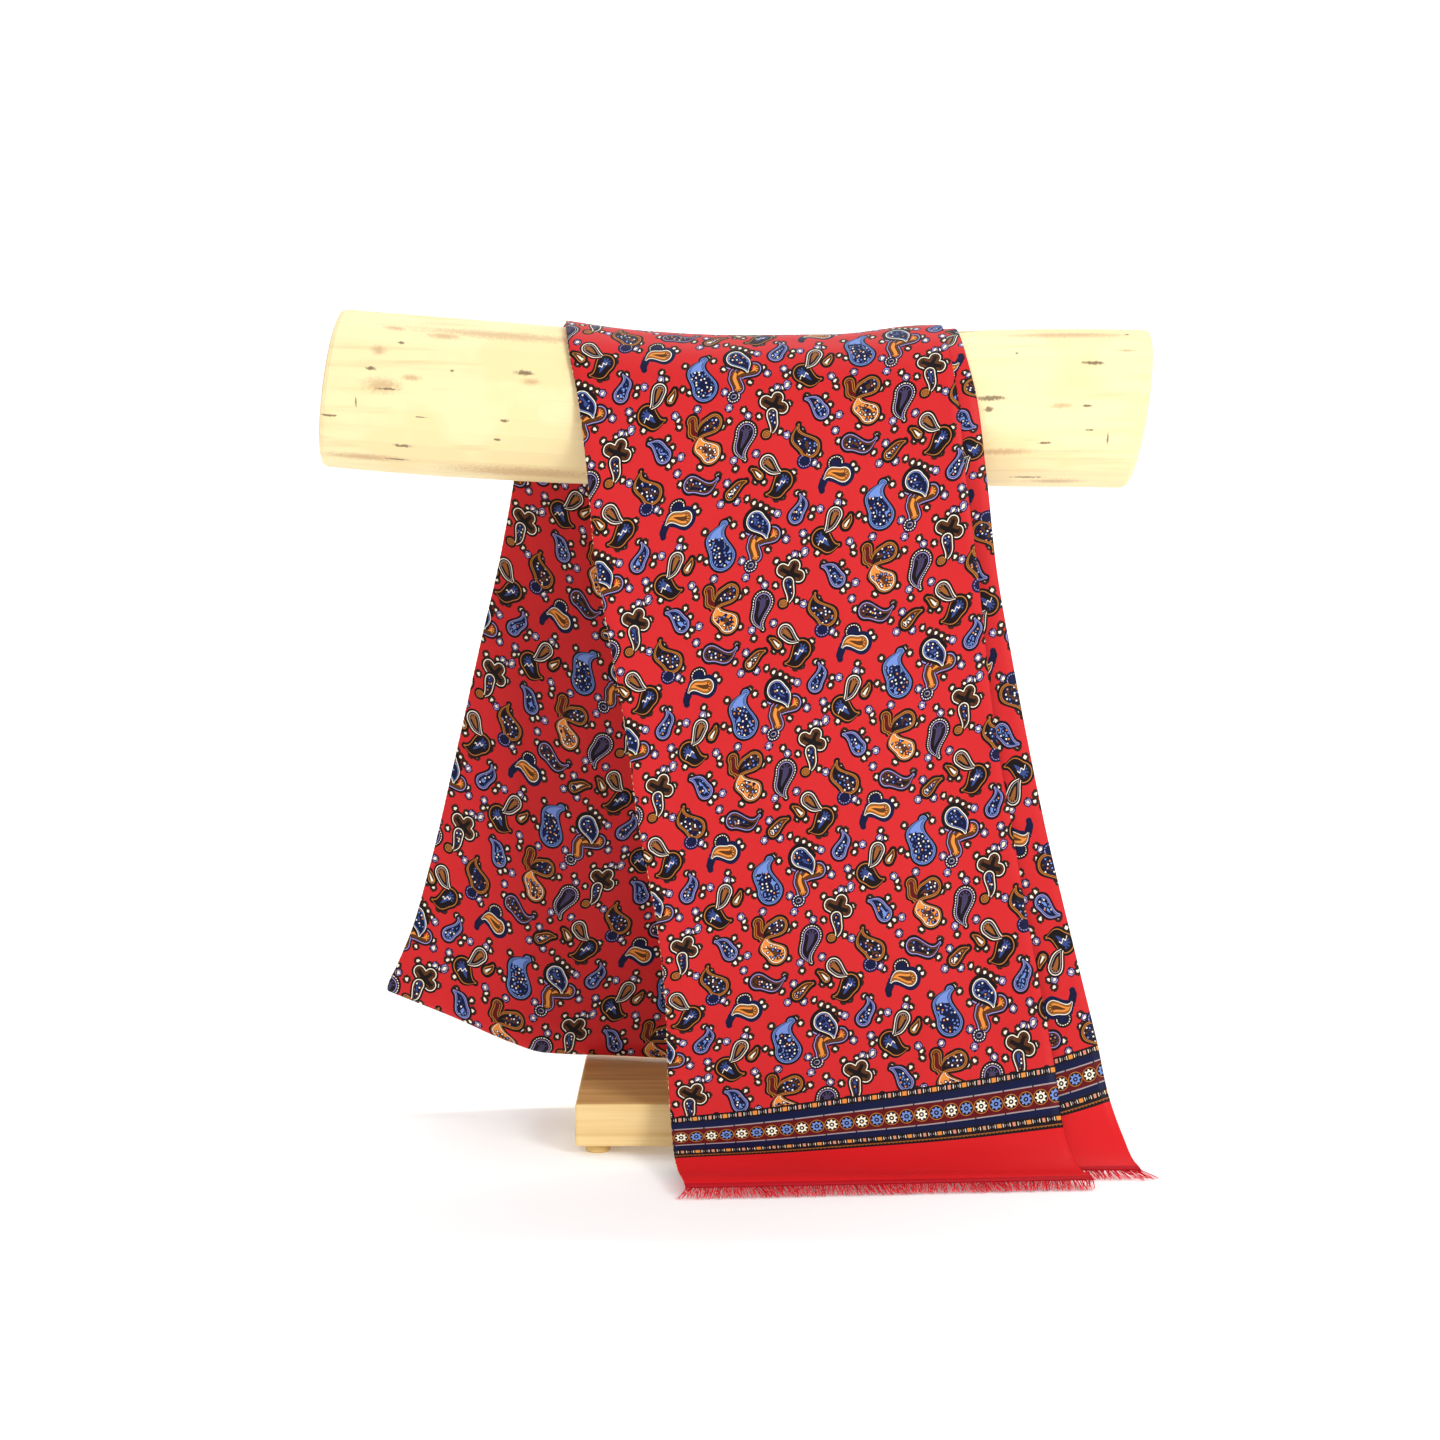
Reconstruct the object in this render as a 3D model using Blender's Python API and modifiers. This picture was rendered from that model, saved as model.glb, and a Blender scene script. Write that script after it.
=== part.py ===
"""A long silk tube scarf, doubled over at half length and hung over a bare log on a small stand.

Metres, +Z up. The front of the piece looks along -Y. X = 0 is the middle of the log, Z = 0 is the
table, and Y = 0 is the middle of the footprint. The cloth's tables are in millimetres and measure
Y from the log's axis, negative towards the front.
"""

import math
import random

import bmesh
import bpy
from mathutils import Vector

MM = 0.001

# ---- the scarf -------------------------------------------------------------------------------
WALL = 1.1               # one stretch of the doubled silk
LOG_CLEARANCE = 0.65     # from the log to the lower layer
LAYER_CLEARANCE = 0.45   # from the lower layer to the upper one
ACROSS_CELLS = 12        # cells of a stretch across its width
SEAM_GAP = 0.3           # where two stretches meet

# ---- the fringe ------------------------------------------------------------------------------
OUTER_STRANDS = 92
INNER_STRANDS = 72
STRIP_HEIGHT = 1.5
STRAND_TIP = 0.45        # a tip's width as a share of the root's
TIP_CLEARANCE = 0.7      # lowest tip above the table
TIP_SPREAD = (0.2, 0.8)  # how much shorter than that a strand is
# Sideways lean of a strand for each unit of its drop: its mean, its slow swing along the hem,
# its scatter, and what the hem's right corner adds to it.
LEAN_MEAN, LEAN_SWING, LEAN_SCATTER = 0.45, 0.5, 0.6
SWING_PER_MM = 0.11      # radians
OUTER_SWEEP, INNER_SWEEP = -0.4, 2.2
CORNER_REACH = 22.0
FORWARD_LEAN = (0.1, 0.6)

# ---- the stand -------------------------------------------------------------------------------
LOG_Y = 41.0             # the log's axis lies behind the middle of the footprint
LOG_SIDES = 28
LOG_CELLS = 14
LOG_EDGE = 3.0           # rounding of the sawn ends
POST_RADIUS = 13.0
POST_FIT = 0.3
POST_IN_LOG = 14.0
POST_IN_BASE = 12.0
BASE_WIDTH = 179.0
BASE_DEPTH = 125.0
BASE_HEIGHT = 24.0
BASE_Y = 4.5             # the board's middle, from the log's axis
BASE_EDGE = 1.5
FOOT_RADIUS = 7.0
FOOT_HEIGHT = 5.0
FOOT_INSET = 12.0
SEAT_GAP = 0.3           # between touching pieces

# The log, from left to right: place along X, height of its middle, its middle in Y, its radius,
# and how far the section leans over to the right at its top.
LOG_SECTIONS = [
    # x,    z,      y,    radius, lean
    (-225.5, 421.5, 0.0,  43.6,   6.0),
    (-165.0, 416.5, 0.6,  44.0,   4.0),
    (-102.0, 412.3, 0.8,  43.4,   1.0),
    (-55.0,  409.0, 0.4,  41.4,   0.0),
    (0.0,    407.4, 0.0,  40.2,   0.0),
    (50.0,   407.3, -0.4, 40.2,   0.0),
    (95.0,   409.0, -0.4, 41.9,   0.0),
    (135.0,  410.2, 0.0,  43.3,   0.5),
    (185.0,  410.3, 0.4,  43.9,   3.0),
    (223.0,  409.8, 0.6,  43.9,   6.0),
]
# Angles from the log's top at which a lengthwise line is set out, and the angle by which it has
# drifted sideways as far as its first row.
ARC_ANGLES = [0.0, 15.0, 30.0, 45.0, 60.0, 74.0]
DRIFT_ANGLE = 105.0

# How far the upper layer stands off at the very top, from its left edge to its right.
CREST_PUFF = [
    # across, puff
    (0.00, 0.5),
    (0.10, 0.2),
    (0.45, 0.0),
    (0.75, 0.6),
    (0.92, 1.6),
    (1.00, 0.7),
]

# Rows of each stretch below the log, top to bottom: the left edge's place and the right edge's.
OUTER_FRONT = {
    "crest_x": (-95.0, 113.0),
    "rows": [
        # z_left, y_left, x_left, z_right, y_right, x_right
        (372.0, -49.5,  -81.3, 372.0, -53.0,  122.8),
        (330.0, -51.0,  -77.5, 330.0, -57.0,  128.3),
        (285.0, -53.0,  -69.8, 285.0, -58.0,  133.5),
        (235.0, -55.8,  -60.8, 235.0, -60.0,  139.6),
        (185.0, -59.0,  -54.0, 183.0, -62.5,  148.8),
        (130.0, -63.2,  -44.0, 135.0, -66.5,  157.0),
        (85.0,  -67.5,  -39.2, 92.0,  -71.5,  165.0),
        (50.0,  -72.0,  -38.0, 52.6,  -77.8,  171.9),
        (26.5,  -79.5,  -36.4, 24.5,  -91.5,  174.9),
        (13.0,  -102.0, -34.4, 12.8,  -106.0, 178.2),
        (8.6,   -125.0, -31.5, 7.6,   -118.5, 182.0),
        (7.3,   -144.5, -28.0, 6.6,   -126.5, 186.0),
        (6.2,   -146.0, -27.6, 5.6,   -127.8, 186.4),
    ],
}
INNER_FRONT = {
    "crest_x": (-84.0, 121.0),
    "rows": [
        (372.0, -46.8,  -72.0, 372.0, -48.8,  134.6),
        (330.0, -48.2,  -66.5, 322.0, -50.0,  140.4),
        (285.0, -50.2,  -57.5, 275.0, -52.5,  148.8),
        (235.0, -52.8,  -47.0, 225.0, -55.5,  158.5),
        (185.0, -55.6,  -36.5, 180.0, -58.2,  168.0),
        (130.0, -59.5,  -24.5, 135.0, -61.3,  178.8),
        (92.0,  -62.8,  -17.0, 100.0, -64.8,  187.4),
        (58.0,  -66.5,  -11.0, 66.0,  -70.0,  195.6),
        (30.0,  -71.5,  -6.5,  37.0,  -80.0,  201.4),
        (14.5,  -86.0,  -1.0,  18.5,  -91.5,  207.6),
        (7.8,   -99.0,  4.0,   8.6,   -102.5, 211.8),
        (6.5,   -105.0, 6.0,   6.5,   -107.0, 214.0),
        (5.5,   -106.2, 6.4,   5.5,   -108.2, 214.6),
    ],
}
REAR = {
    "outer_crest_x": (-95.0, 113.0),
    "inner_crest_x": (-84.0, 121.0),
    "rows": [
        (372.0, 49.0,  -128.0, 372.0, 49.0,  81.5),
        (323.0, 52.0,  -137.5, 323.0, 52.0,  71.5),
        (277.0, 54.5,  -148.6, 277.0, 54.5,  60.0),
        (206.0, 57.5,  -165.2, 206.0, 57.5,  43.5),
        (141.0, 59.8,  -181.2, 141.0, 60.5,  27.0),
        (103.0, 60.5,  -192.5, 95.0,  63.5,  15.5),
    ],
}
# The fold's lowest line across the width: free at the left, resting on the board at the right.
FOLD_LINE = [
    # across, z,   y
    (0.00, 70.6, 60.0),
    (0.18, 55.0, 60.0),
    (0.34, 39.6, 60.4),
    (0.44, 33.0, 60.8),
    (0.56, 32.0, 60.0),
    (0.78, 32.0, 50.5),
    (1.00, 32.0, 43.5),
]
FOLD_X = (-206.2, 4.0)
FOLD_RADIUS = 1.3        # middle of the wall, round the fold
FOLD_CELLS = 8
REAR_HALF_GAP = 1.2      # half the distance between the rear layers' middles, below the log
REAR_BULGE = 3.5         # the slack above the board bows out to the rear
BULGE_PLACE = 0.55       # from the last row to the fold

# Soft waves that run down a hanging face in line with its edges.
FRONT_WAVES = {
    "drift": 0.15,       # shift along X for each unit of drop
    "lowest": 20.0,      # the height at which they have died out
    "waves": [
        # x,    half_width, towards_rear
        (84.0,  17.0,       1.6),
        (5.0,   42.0,       -2.4),
    ],
}
REAR_WAVES = {
    "drift": -0.235,
    "lowest": 60.0,
    "waves": [
        # x,    half_width, towards_rear
        (-62.0, 26.0,       2.2),
        (15.0,  30.0,       -1.8),
    ],
}
WAVE_X_HEIGHT = 410.0    # the height at which a wave's x is given
WAVE_TOP, WAVE_ONSET = 360.0, 160.0
WAVE_FADE = 60.0


def smooth(t):
    """Ease from 0 to 1 with no slope at either end."""
    t = min(max(t, 0.0), 1.0)
    return t * t * (3.0 - 2.0 * t)


def read_table(table, at, column):
    """A column of a table at a place between its rows, along a curve without overshoot."""
    keys = [row[0] for row in table]
    values = [row[column] for row in table]
    if at <= keys[0]:
        return values[0]
    if at >= keys[-1]:
        return values[-1]
    i = max(k for k in range(len(keys) - 1) if keys[k] <= at)
    steps = [(values[k + 1] - values[k]) / (keys[k + 1] - keys[k]) for k in range(len(keys) - 1)]

    def slope(k):
        if k == 0 or k == len(steps):
            return steps[min(k, len(steps) - 1)]
        if steps[k - 1] * steps[k] <= 0.0:
            return 0.0
        return 2.0 * steps[k - 1] * steps[k] / (steps[k - 1] + steps[k])

    span = keys[i + 1] - keys[i]
    t = (at - keys[i]) / span
    return (values[i] * (2 * t**3 - 3 * t**2 + 1) + slope(i) * span * (t**3 - 2 * t**2 + t)
            + values[i + 1] * (3 * t**2 - 2 * t**3) + slope(i + 1) * span * (t**3 - t**2))


def log_section(x):
    """Middle height, middle Y, radius and lean of the log at a place along it."""
    return [read_table(LOG_SECTIONS, x, column) for column in (1, 2, 3, 4)]


def lerp(a, b, t):
    return a + (b - a) * t


def curve_through(points, cells=2):
    """A smooth curve through the given points, with a number of cells between each two of them."""
    spans = [(b - a).length for a, b in zip(points, points[1:])]
    steps = [(b - a) / span for a, b, span in zip(points, points[1:], spans)]
    tangents = [steps[0]]
    for k in range(1, len(steps)):
        tangents.append(steps[k - 1].lerp(steps[k], spans[k - 1] / (spans[k - 1] + spans[k])))
    tangents.append(steps[-1])
    result = [points[0]]
    for k, span in enumerate(spans):
        for cell in range(1, cells + 1):
            t = cell / cells
            result.append(points[k] * (2 * t**3 - 3 * t**2 + 1)
                          + tangents[k] * (span * (t**3 - 2 * t**2 + t))
                          + points[k + 1] * (3 * t**2 - 2 * t**3)
                          + tangents[k + 1] * (span * (t**3 - t**2)))
    return result


# ---- lengthwise lines of the cloth ------------------------------------------------------------
def line_over_log(across, side, lift, crest_x, foot_x, puff=0.0):
    """The part of a lengthwise line that lies on the log, from the top to just above its side."""
    points = []
    for angle in ARC_ANGLES:
        share = smooth(angle / DRIFT_ANGLE) if side > 0 else (angle / DRIFT_ANGLE) ** 2
        x = lerp(lerp(crest_x[0], foot_x[0], share), lerp(crest_x[1], foot_x[1], share), across)
        z, y, radius, _lean = log_section(x)
        reach = radius + lift + puff * math.cos(math.radians(min(angle * 2.0, 90.0)))
        turn = math.radians(angle)
        points.append(Vector((x, y + side * reach * math.sin(turn), z + reach * math.cos(turn))))
    return points


def point_across(row, across):
    """A point of a row, between its left edge and its right edge."""
    z_left, y_left, x_left, z_right, y_right, x_right = row
    return Vector((lerp(x_left, x_right, across), lerp(y_left, y_right, across),
                   lerp(z_left, z_right, across)))


def hanging_points(stretch, waves, across):
    """A lengthwise line's place in each row of a stretch, with the waves of its face."""
    points = []
    for row in stretch["rows"]:
        point = point_across(row, across)
        shift = (WAVE_X_HEIGHT - point.z) * waves["drift"]
        fade = (smooth((WAVE_TOP - point.z) / WAVE_ONSET)
                * smooth((point.z - waves["lowest"]) / WAVE_FADE))
        for x, half_width, towards_rear in waves["waves"]:
            away = (point.x - x - shift) / half_width
            point.y += fade * towards_rear * math.exp(-away * away)
        points.append(point)
    return points


def front_line(stretch, across, lift, puff):
    """Key points of a lengthwise line of a front stretch, from the top of the log to the hem."""
    first = stretch["rows"][0]
    points = line_over_log(across, -1.0, lift, stretch["crest_x"], (first[2], first[5]), puff)
    return points + hanging_points(stretch, FRONT_WAVES, across)


def rear_line(across, lift, crest_x, puff, offset):
    """Key points of a rear layer's lengthwise line: over the log, then beside the shared line."""
    first = REAR["rows"][0]
    points = line_over_log(across, 1.0, lift, crest_x, (first[2], first[5]), puff)
    shared = hanging_points(REAR, REAR_WAVES, across)
    fold = fold_point(across)
    bulge = Vector((0.0, REAR_BULGE * smooth((across - 0.4) / 0.5), 0.0))
    shared.append(shared[-1].lerp(fold, BULGE_PLACE) + bulge)
    shared.append(fold)
    for k, point in enumerate(shared):
        tangent = shared[min(k + 1, len(shared) - 1)] - shared[max(k - 1, 0)]
        points.append(point + Vector((0.0, -tangent.z, tangent.y)).normalized() * offset)
    return points


def fold_point(across):
    return Vector((lerp(FOLD_X[0], FOLD_X[1], across), read_table(FOLD_LINE, across, 2),
                   read_table(FOLD_LINE, across, 1)))


# ---- meshes ----------------------------------------------------------------------------------
def new_object(name, mesh_data, material, parent):
    """A named object from a bmesh, with its own material, under the display's empty."""
    mesh = bpy.data.meshes.new(name)
    mesh_data.to_mesh(mesh)
    mesh_data.free()
    item = bpy.data.objects.new(name, mesh)
    item.parent = parent
    if material:
        mesh.materials.append(material)
    return item


def sheet_mesh(lines):
    """An open sheet through lengthwise lines of equal length, one for each step across."""
    across_cells, along_cells = len(lines) - 1, len(lines[0]) - 1
    sheet = bmesh.new()
    bmesh.ops.create_grid(sheet, x_segments=across_cells, y_segments=along_cells, size=1.0)
    for vertex in sheet.verts:
        i = round((vertex.co.x + 1.0) / 2.0 * across_cells)
        j = round((1.0 - vertex.co.y) / 2.0 * along_cells)
        vertex.co = lines[i][j] * MM
    return sheet


def cloth_stretch(name, lines, material, parent):
    """One stretch of cloth: a sheet of lengthwise lines, thickened evenly to both sides."""
    item = new_object(name, sheet_mesh(lines), material, parent)
    wall = item.modifiers.new("wall", "SOLIDIFY")
    wall.thickness = WALL * MM
    wall.offset = 0.0
    item.data.shade_smooth()
    return item


def trim_start(line, length):
    """Move a line's first point along it by a length, to part it from its neighbour."""
    direction = (line[1] - line[0]).normalized()
    line[0] = line[0] + direction * length
    return line


def fringe(name, hem, strands, corner_sweep, seed, material, parent):
    """A narrow strip along the hem, with loose strands grown out of every other cell under it."""
    cells = 2 * strands + 1
    pick = random.Random(seed)
    strip = bmesh.new()
    bmesh.ops.create_cube(strip, size=1.0)
    long_edges = [e for e in strip.edges if abs(e.verts[0].co.x - e.verts[1].co.x) > 0.5]
    bmesh.ops.subdivide_edges(strip, edges=long_edges, cuts=cells - 1)
    strip.normal_update()
    under = sorted((f for f in strip.faces if f.normal.z < -0.9), key=lambda f: f.calc_center_median().x)
    for vertex in strip.verts:
        edge, down = hem(vertex.co.x + 0.5)
        out = Vector((0.0, down.z, -down.y))
        below = SEAM_GAP + (0.5 - vertex.co.z) * STRIP_HEIGHT
        vertex.co = edge + down * below - out * vertex.co.y * WALL
    corner = hem(1.0)[0]
    for face in bmesh.ops.extrude_discrete_faces(strip, faces=under[1::2])["faces"]:
        middle = face.calc_center_median()
        drop = middle.z - TIP_CLEARANCE - pick.uniform(*TIP_SPREAD)
        sweep = corner_sweep * smooth(1.0 - (corner.x - middle.x) / CORNER_REACH)
        swing = LEAN_SWING * math.sin(middle.x * SWING_PER_MM)
        lean = LEAN_MEAN + swing + pick.uniform(-LEAN_SCATTER, LEAN_SCATTER) + sweep
        shift = Vector((lean * drop, -drop * pick.uniform(*FORWARD_LEAN), -drop))
        for vertex in face.verts:
            vertex.co = middle + (vertex.co - middle) * STRAND_TIP + shift
    bmesh.ops.scale(strip, verts=strip.verts, vec=(MM, MM, MM))
    return new_object(name, strip, material, parent)


def log_mesh():
    """The log: a many-sided bar whose rings take their place from the table of sections."""
    left, right = LOG_SECTIONS[0][0], LOG_SECTIONS[-1][0]
    bar = bmesh.new()
    bmesh.ops.create_cone(bar, cap_ends=True, segments=LOG_SIDES, radius1=1.0, radius2=1.0, depth=1.0)
    long_edges = [e for e in bar.edges if abs(e.verts[0].co.z - e.verts[1].co.z) > 0.5]
    bmesh.ops.subdivide_edges(bar, edges=long_edges, cuts=LOG_CELLS - 1)
    for vertex in bar.verts:
        side, up = vertex.co.y, vertex.co.x
        x = lerp(left, right, vertex.co.z + 0.5)
        z, y, radius, lean = log_section(x)
        vertex.co = Vector((x + lean * up, y + radius * side, z + radius * up)) * MM
    bmesh.ops.recalc_face_normals(bar, faces=bar.faces)
    return bar


def drum_mesh(radius, bottom, top, sides=24):
    """An upright cylinder between two heights."""
    drum = bmesh.new()
    bmesh.ops.create_cone(drum, cap_ends=True, segments=sides, radius1=radius * MM, radius2=radius * MM,
                          depth=(top - bottom) * MM)
    bmesh.ops.translate(drum, verts=drum.verts, vec=(0.0, 0.0, (top + bottom) / 2.0 * MM))
    return drum


def add_bevel(item, width, segments):
    bevel = item.modifiers.new("edges", "BEVEL")
    bevel.width = width * MM
    bevel.segments = segments
    bevel.limit_method = "ANGLE"
    bevel.angle_limit = math.radians(50.0)


def cut_with(item, cutter):
    cut = item.modifiers.new("socket", "BOOLEAN")
    cut.operation = "DIFFERENCE"
    cut.object = cutter
    cutter.hide_render = True
    cutter.display_type = "WIRE"


def make_material(name, colour, roughness):
    material = bpy.data.materials.new(name)
    material.use_nodes = True
    shader = material.node_tree.nodes["Principled BSDF"]
    shader.inputs["Base Color"].default_value = (*colour, 1.0)
    shader.inputs["Roughness"].default_value = roughness
    shader.inputs["Metallic"].default_value = 0.0
    return material


# ---- the pieces ------------------------------------------------------------------------------
def build_stand(parent):
    """The log, its post, the board and four button feet; and the two sockets' cutters."""
    bare_wood = make_material("bare_wood", (0.83, 0.70, 0.45), 0.6)
    dowel_wood = make_material("dowel_wood", (0.75, 0.58, 0.36), 0.55)
    board_wood = make_material("board_wood", (0.52, 0.33, 0.16), 0.5)
    rubber = make_material("foot_rubber", (0.55, 0.47, 0.36), 0.7)
    pieces, cutters = [], []

    board_bottom = FOOT_HEIGHT
    board_top = FOOT_HEIGHT + BASE_HEIGHT
    log_bottom = log_section(0.0)[0] - log_section(0.0)[2]
    post_bottom = board_top - POST_IN_BASE
    post_top = log_bottom + POST_IN_LOG

    log = new_object("log", log_mesh(), bare_wood, parent)
    add_bevel(log, LOG_EDGE, 2)
    log.data.shade_smooth()

    board_mesh = bmesh.new()
    bmesh.ops.create_cube(board_mesh, size=1.0)
    bmesh.ops.scale(board_mesh, verts=board_mesh.verts,
                    vec=(BASE_WIDTH * MM, BASE_DEPTH * MM, BASE_HEIGHT * MM))
    board = new_object("base", board_mesh, board_wood, parent)
    board.location = Vector((0.0, BASE_Y, (board_bottom + board_top) / 2.0)) * MM
    add_bevel(board, BASE_EDGE, 2)

    post = new_object("post", drum_mesh(POST_RADIUS, post_bottom, post_top), dowel_wood, parent)
    add_bevel(post, 1.0, 1)

    mouth = 20.0
    for name, item, low, high in (("log_socket", log, log_bottom - mouth, post_top + POST_FIT),
                                  ("base_socket", board, post_bottom - POST_FIT, board_top + mouth)):
        cutter = new_object(name, drum_mesh(POST_RADIUS + POST_FIT, low, high), None, parent)
        cut_with(item, cutter)
        cutters.append(cutter)

    foot_x = BASE_WIDTH / 2.0 - FOOT_INSET
    foot_y = BASE_DEPTH / 2.0 - FOOT_INSET
    corners = [(-foot_x, -foot_y), (foot_x, -foot_y), (-foot_x, foot_y), (foot_x, foot_y)]
    for number, (x, y) in enumerate(corners, 1):
        foot_mesh = drum_mesh(FOOT_RADIUS, 0.0, FOOT_HEIGHT - SEAT_GAP, sides=20)
        foot = new_object(f"foot_{number}", foot_mesh, rubber, parent)
        foot.location = Vector((x, BASE_Y + y, 0.0)) * MM
        add_bevel(foot, 0.8, 1)
        pieces.append(foot)
    return pieces + [log, board, post], cutters


def build_scarf(parent):
    """The four hanging stretches, the fold that joins two of them, and the two fringes."""
    silk = make_material("printed_silk", (0.72, 0.03, 0.035), 0.42)
    lining = make_material("printed_silk_inner", (0.60, 0.02, 0.03), 0.42)
    thread = make_material("fringe_thread", (0.55, 0.02, 0.04), 0.6)
    inner_lift = LOG_CLEARANCE + WALL / 2.0
    outer_lift = inner_lift + WALL + LAYER_CLEARANCE
    steps = [i / ACROSS_CELLS for i in range(ACROSS_CELLS + 1)]

    def puff(across):
        return read_table(CREST_PUFF, across, 1)

    def stretch_lines(key_line):
        return [trim_start(curve_through(key_line(u)), SEAM_GAP / 2.0) for u in steps]

    outer_front = stretch_lines(lambda u: front_line(OUTER_FRONT, u, outer_lift, puff(u)))
    inner_front = stretch_lines(lambda u: front_line(INNER_FRONT, u, inner_lift, 0.0))
    outer_rear = stretch_lines(
        lambda u: rear_line(u, outer_lift, REAR["outer_crest_x"], puff(u), REAR_HALF_GAP))
    inner_rear = stretch_lines(
        lambda u: rear_line(u, inner_lift, REAR["inner_crest_x"], 0.0, -REAR_HALF_GAP))

    fold_lines = []
    for i, u in enumerate(steps):
        near, far = inner_rear[i][-1], outer_rear[i][-1]
        middle = (near + far) / 2.0
        outward = (far - near) / 2.0
        down = Vector((0.0, outward.z, -outward.y)).normalized()
        turn = [math.pi * k / FOLD_CELLS for k in range(FOLD_CELLS + 1)]
        fold_lines.append([middle - outward * math.cos(a) + down * (FOLD_RADIUS * math.sin(a) + SEAM_GAP)
                           for a in turn])

    pieces = [
        cloth_stretch("scarf_outer_front", outer_front, silk, parent),
        cloth_stretch("scarf_inner_front", inner_front, lining, parent),
        cloth_stretch("scarf_outer_rear", outer_rear, silk, parent),
        cloth_stretch("scarf_inner_rear", inner_rear, lining, parent),
        cloth_stretch("scarf_fold", fold_lines, silk, parent),
    ]

    def hem_of(stretch, lift):
        def hem(across):
            keys = front_line(stretch, across, lift, 0.0)
            return keys[-1], (keys[-1] - keys[-2]).normalized()
        return hem

    outer_hem, inner_hem = hem_of(OUTER_FRONT, outer_lift), hem_of(INNER_FRONT, inner_lift)
    pieces.append(fringe("fringe_outer", outer_hem, OUTER_STRANDS, OUTER_SWEEP, 5, thread, parent))
    pieces.append(fringe("fringe_inner", inner_hem, INNER_STRANDS, INNER_SWEEP, 9, thread, parent))
    return pieces


def main():
    for item in list(bpy.data.objects):
        bpy.data.objects.remove(item, do_unlink=True)
    display = bpy.data.collections.new("silk_scarf_on_log_stand")
    tools = bpy.data.collections.new("cutters")
    bpy.context.scene.collection.children.link(display)
    bpy.context.scene.collection.children.link(tools)
    log_axis = bpy.data.objects.new("log_axis", None)
    log_axis.location = (0.0, LOG_Y * MM, 0.0)
    display.objects.link(log_axis)

    stand, cutters = build_stand(log_axis)
    for item in stand + build_scarf(log_axis):
        display.objects.link(item)
    for item in cutters:
        tools.objects.link(item)


main()
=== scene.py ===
# %% [markdown]
# # A silk tube scarf over a bare log
# The scarf is one long strip of printed silk, folded lengthwise and sewn into a flat tube, with its
# two ends frayed. It is doubled over crosswise and hung over a log, so the fold hangs behind and both
# ends hang in front. The log, the board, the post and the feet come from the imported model. This
# notebook adds what the eye reads as silk: the thin shell of the tube, its print, its hems and threads.

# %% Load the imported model
import math
import random

import bmesh
import bpy
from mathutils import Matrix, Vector


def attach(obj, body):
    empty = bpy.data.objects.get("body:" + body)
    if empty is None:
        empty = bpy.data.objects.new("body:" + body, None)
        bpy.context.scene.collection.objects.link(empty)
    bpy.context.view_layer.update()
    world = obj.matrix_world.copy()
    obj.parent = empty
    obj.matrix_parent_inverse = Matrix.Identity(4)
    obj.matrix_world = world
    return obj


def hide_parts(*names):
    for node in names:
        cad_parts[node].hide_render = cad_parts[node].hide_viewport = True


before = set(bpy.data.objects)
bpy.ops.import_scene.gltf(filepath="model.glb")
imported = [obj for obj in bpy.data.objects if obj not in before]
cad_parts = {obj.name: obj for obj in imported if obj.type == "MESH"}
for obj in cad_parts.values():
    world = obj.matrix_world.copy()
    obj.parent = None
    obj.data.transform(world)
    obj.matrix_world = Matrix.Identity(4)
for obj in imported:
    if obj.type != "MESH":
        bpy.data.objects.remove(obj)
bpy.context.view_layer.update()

MM = 0.001
scene = bpy.context.scene
print("nodes:", ", ".join(sorted(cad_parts)))

# %% [markdown]
# ## Camera
# The photograph was taken from about a metre and a half away, a little above the log and looking
# slightly down, with a long lens. A square frame and a 36 mm sensor make the lens 68 mm.

# %% Set the camera
LOOKS_DOWN = 5.65     # degrees
camera_data = bpy.data.cameras.new("camera")
camera_data.lens = 68.175
camera_data.sensor_width = 36.0
camera = bpy.data.objects.new("camera", camera_data)
camera.location = (-0.0097, -1.489, 0.387)
camera.rotation_euler = (math.radians(90.0 - LOOKS_DOWN), 0.0, 0.0)
scene.collection.objects.link(camera)
scene.camera = camera
print("camera looks down by", LOOKS_DOWN, "degrees")

# %% [markdown]
# ## Floor and light
# A pale floor that rises all round into a soft rim gives an even backdrop from every side: one
# short profile is spun about the upright axis. Large area lights stand in for a softbox on each
# side and one overhead. One more lights the rear, one the backdrop, and the world fills the shadows.

# %% Spin the floor
def plain_material(name, colour, roughness):
    """A Principled material of one colour; the finishes below replace what needs more."""
    material = bpy.data.materials.new(name)
    material.use_nodes = True
    shader = material.node_tree.nodes["Principled BSDF"]
    shader.inputs["Base Color"].default_value = (*colour, 1.0)
    shader.inputs["Roughness"].default_value = roughness
    return material


def finished(name, mesh_data, material, smooth=True, unit=1.0):
    """Turn a bmesh, whose unit is given in metres, into a linked object with its material."""
    mesh = bpy.data.meshes.new(name)
    bmesh.ops.scale(mesh_data, verts=mesh_data.verts, vec=(unit, unit, unit))
    mesh_data.to_mesh(mesh)
    mesh_data.free()
    item = bpy.data.objects.new(name, mesh)
    scene.collection.objects.link(item)
    mesh.materials.append(material)
    if smooth:
        mesh.shade_smooth()
    print(f"{name}: {len(mesh.polygons)} faces")
    return item


FLOOR_RADIUS = 3.2
RIM_RADIUS = 1.2
FLOOR_GLOW = 0.16     # a little light of its own keeps the floor white

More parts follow.
